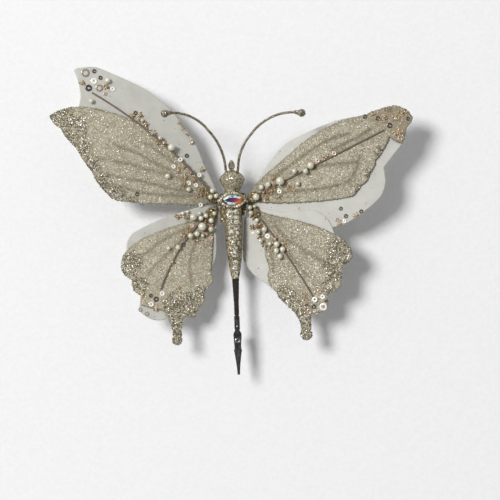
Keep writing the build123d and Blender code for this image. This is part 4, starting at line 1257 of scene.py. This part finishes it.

# Clip. An alligator clip of stamped, nickel-plated steel with a dimple and an eyelet in its jaw: the
# jaw is crimped over the end of the stem, the lever turns on a rivet in the jaw's ears, and a torsion
# spring on the rivet closes it.
DIMPLE_RADIUS = 0.85 * MM
DIMPLE_HEIGHT = 0.55 * MM
DIMPLE_STEPS = 6
EYELET_RADIUS = 1.45 * MM
nickel = Finish("nickel_plate", {"Metallic": 1.0})
haze = nickel.noise(2.5 * MM)
drawn_out = {"Vector": nickel.place, "Scale": (1.0, 0.06, 1.0)}
scratch = nickel.noise(0.12 * MM, 2.0, place=nickel.add("ShaderNodeMapping", drawn_out))
nickel.set({
    "Base Color": nickel.ramp(haze, {
        0.3: (0.36, 0.355, 0.34), 0.6: (0.55, 0.545, 0.53), 0.8: (0.66, 0.655, 0.64),
    }),
    "Roughness": 0.10 + 0.16 * haze + 0.08 * scratch,
    "Normal": nickel.bump(scratch, 0.008 * MM),
})
for node in ("clip_jaw", "clip_lever", "clip_pivot_pin"):
    dress(node, nickel)
pin_low, pin_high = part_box("clip_pivot_pin")
pin_y = (pin_low[1] + pin_high[1]) / 2
spring_mesh = ground_of("clip_spring")
shade(spring_mesh, True)
spring_mesh.materials.append(wire_steel.material)
spring = linked("clip_spring_wire", spring_mesh)
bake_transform(spring)
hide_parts("clip_spring")
marks = bmesh.new()
quarter = [math.pi / 2 * i / DIMPLE_STEPS for i in range(DIMPLE_STEPS)]
dome = [(DIMPLE_RADIUS * math.cos(a), DIMPLE_HEIGHT * math.sin(a)) for a in quarter]
dome = [(DIMPLE_RADIUS, -0.3 * MM)] + dome + [(0, DIMPLE_HEIGHT)]
dimple_place = Vector((0.0, clip_rear - 7.5 * MM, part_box("clip_jaw")[1][2] - 0.75 * MM))
turn(marks, dome, dimple_place, UP, 20, 0.0)
eyelet = oval_ring(EYELET_RADIUS, 0.42 * MM, 0.3 * MM, 12)
eyelet_place = Vector((0.0, pin_y + 7.5 * MM, dimple_place.z + 0.7 * MM))
turn(marks, eyelet, eyelet_place, UP, 24, 0.0, closed=True)
marks_mesh = finished_mesh("clip_polished_marks", marks, True)
piece("clip_polished_marks", marks_mesh, "stem", nickel)

# Floor. A sheet of matt white paper, larger than the picture. The ornament lies on a low white plinth
# under its back, which lifts it off the paper and gives the photo's wide shadow.
FLOOR_REACH = 1.5
PLINTH_SIZE = (12 * MM, 10 * MM, 14 * MM)
PLINTH_Y = -3 * MM
plinth_z = cad_box[0][2] - 0.05 * MM
floor_z = plinth_z - PLINTH_SIZE[2]
corners = [(-1, -1), (1, -1), (1, 1), (-1, 1)]
floor_mesh = bpy.data.meshes.new("floor")
floor_mesh.from_pydata(
    [(FLOOR_REACH * x, FLOOR_REACH * y, floor_z) for x, y in corners], [], [(0, 1, 2, 3)]
)
plinth = bmesh.new()
bmesh.ops.create_cube(plinth, size=1.0)
bmesh.ops.scale(plinth, vec=PLINTH_SIZE, verts=plinth.verts)
plinth_middle = (0.0, PLINTH_Y, plinth_z - PLINTH_SIZE[2] / 2)
bmesh.ops.translate(plinth, vec=plinth_middle, verts=plinth.verts)
white_paper = Finish("white_paper", {"Roughness": 0.9})
grain = white_paper.noise(2.5 * MM)
white_paper.set({
    "Base Color": white_paper.ramp(grain, {0.3: (0.84, 0.84, 0.845), 0.7: (0.88, 0.88, 0.885)}),
    "Normal": white_paper.bump(grain, 0.08 * MM),
})
for name, mesh in (("floor", floor_mesh), ("plinth", finished_mesh("plinth", plinth, False))):
    mesh.materials.append(white_paper.material)
    linked(name, mesh)

# Light and camera. One large soft light high on the left throws the shadow down to the right, a dim
# sky fills it, and a long lens looks straight down with the picture turned by two degrees.
KEY_PLACE = (-2.53, 1.52, 4.37)
KEY_WIDTH = 1.7
KEY_POWER = 236.0
key = bpy.data.lights.new("key", "AREA")
key.shape = "DISK"
key.size = KEY_WIDTH
key.energy = KEY_POWER
key_light = linked("key", key)
key_light.location = KEY_PLACE
key_light.rotation_euler = (-key_light.location).to_track_quat("-Z", "Y").to_euler()

world = bpy.data.worlds.new("studio")
bpy.context.scene.world = world
world.use_nodes = True
sky = Nodes(world.node_tree)
upwards = sky.part(sky.add("ShaderNodeTexCoord", {}, "Generated"), "Z")
sky_colour = sky.ramp(upwards, {
    0.0: (0.66, 0.66, 0.67), 0.6: (0.425, 0.425, 0.43), 0.88: (0.305, 0.305, 0.31),
    0.97: (0.015, 0.015, 0.015),
})
sky.feed(world.node_tree.nodes["Background"].inputs["Color"], sky_colour)

PICTURE_WIDTH = 0.3571
PICTURE_CENTRE = (11.1 * MM, -36.1 * MM)
PICTURE_TURN = -2.0
WING_HEIGHT = 12 * MM
DISTANCE = 1.5
lens = bpy.data.cameras.new("camera")
lens.sensor_width = 36.0
lens.lens = lens.sensor_width * DISTANCE / PICTURE_WIDTH
camera = linked("camera", lens)
camera.location = (*PICTURE_CENTRE, WING_HEIGHT + DISTANCE)
camera.rotation_euler = (0.0, 0.0, math.radians(PICTURE_TURN))
bpy.context.scene.camera = camera
bpy.context.scene.view_settings.view_transform = "Standard"
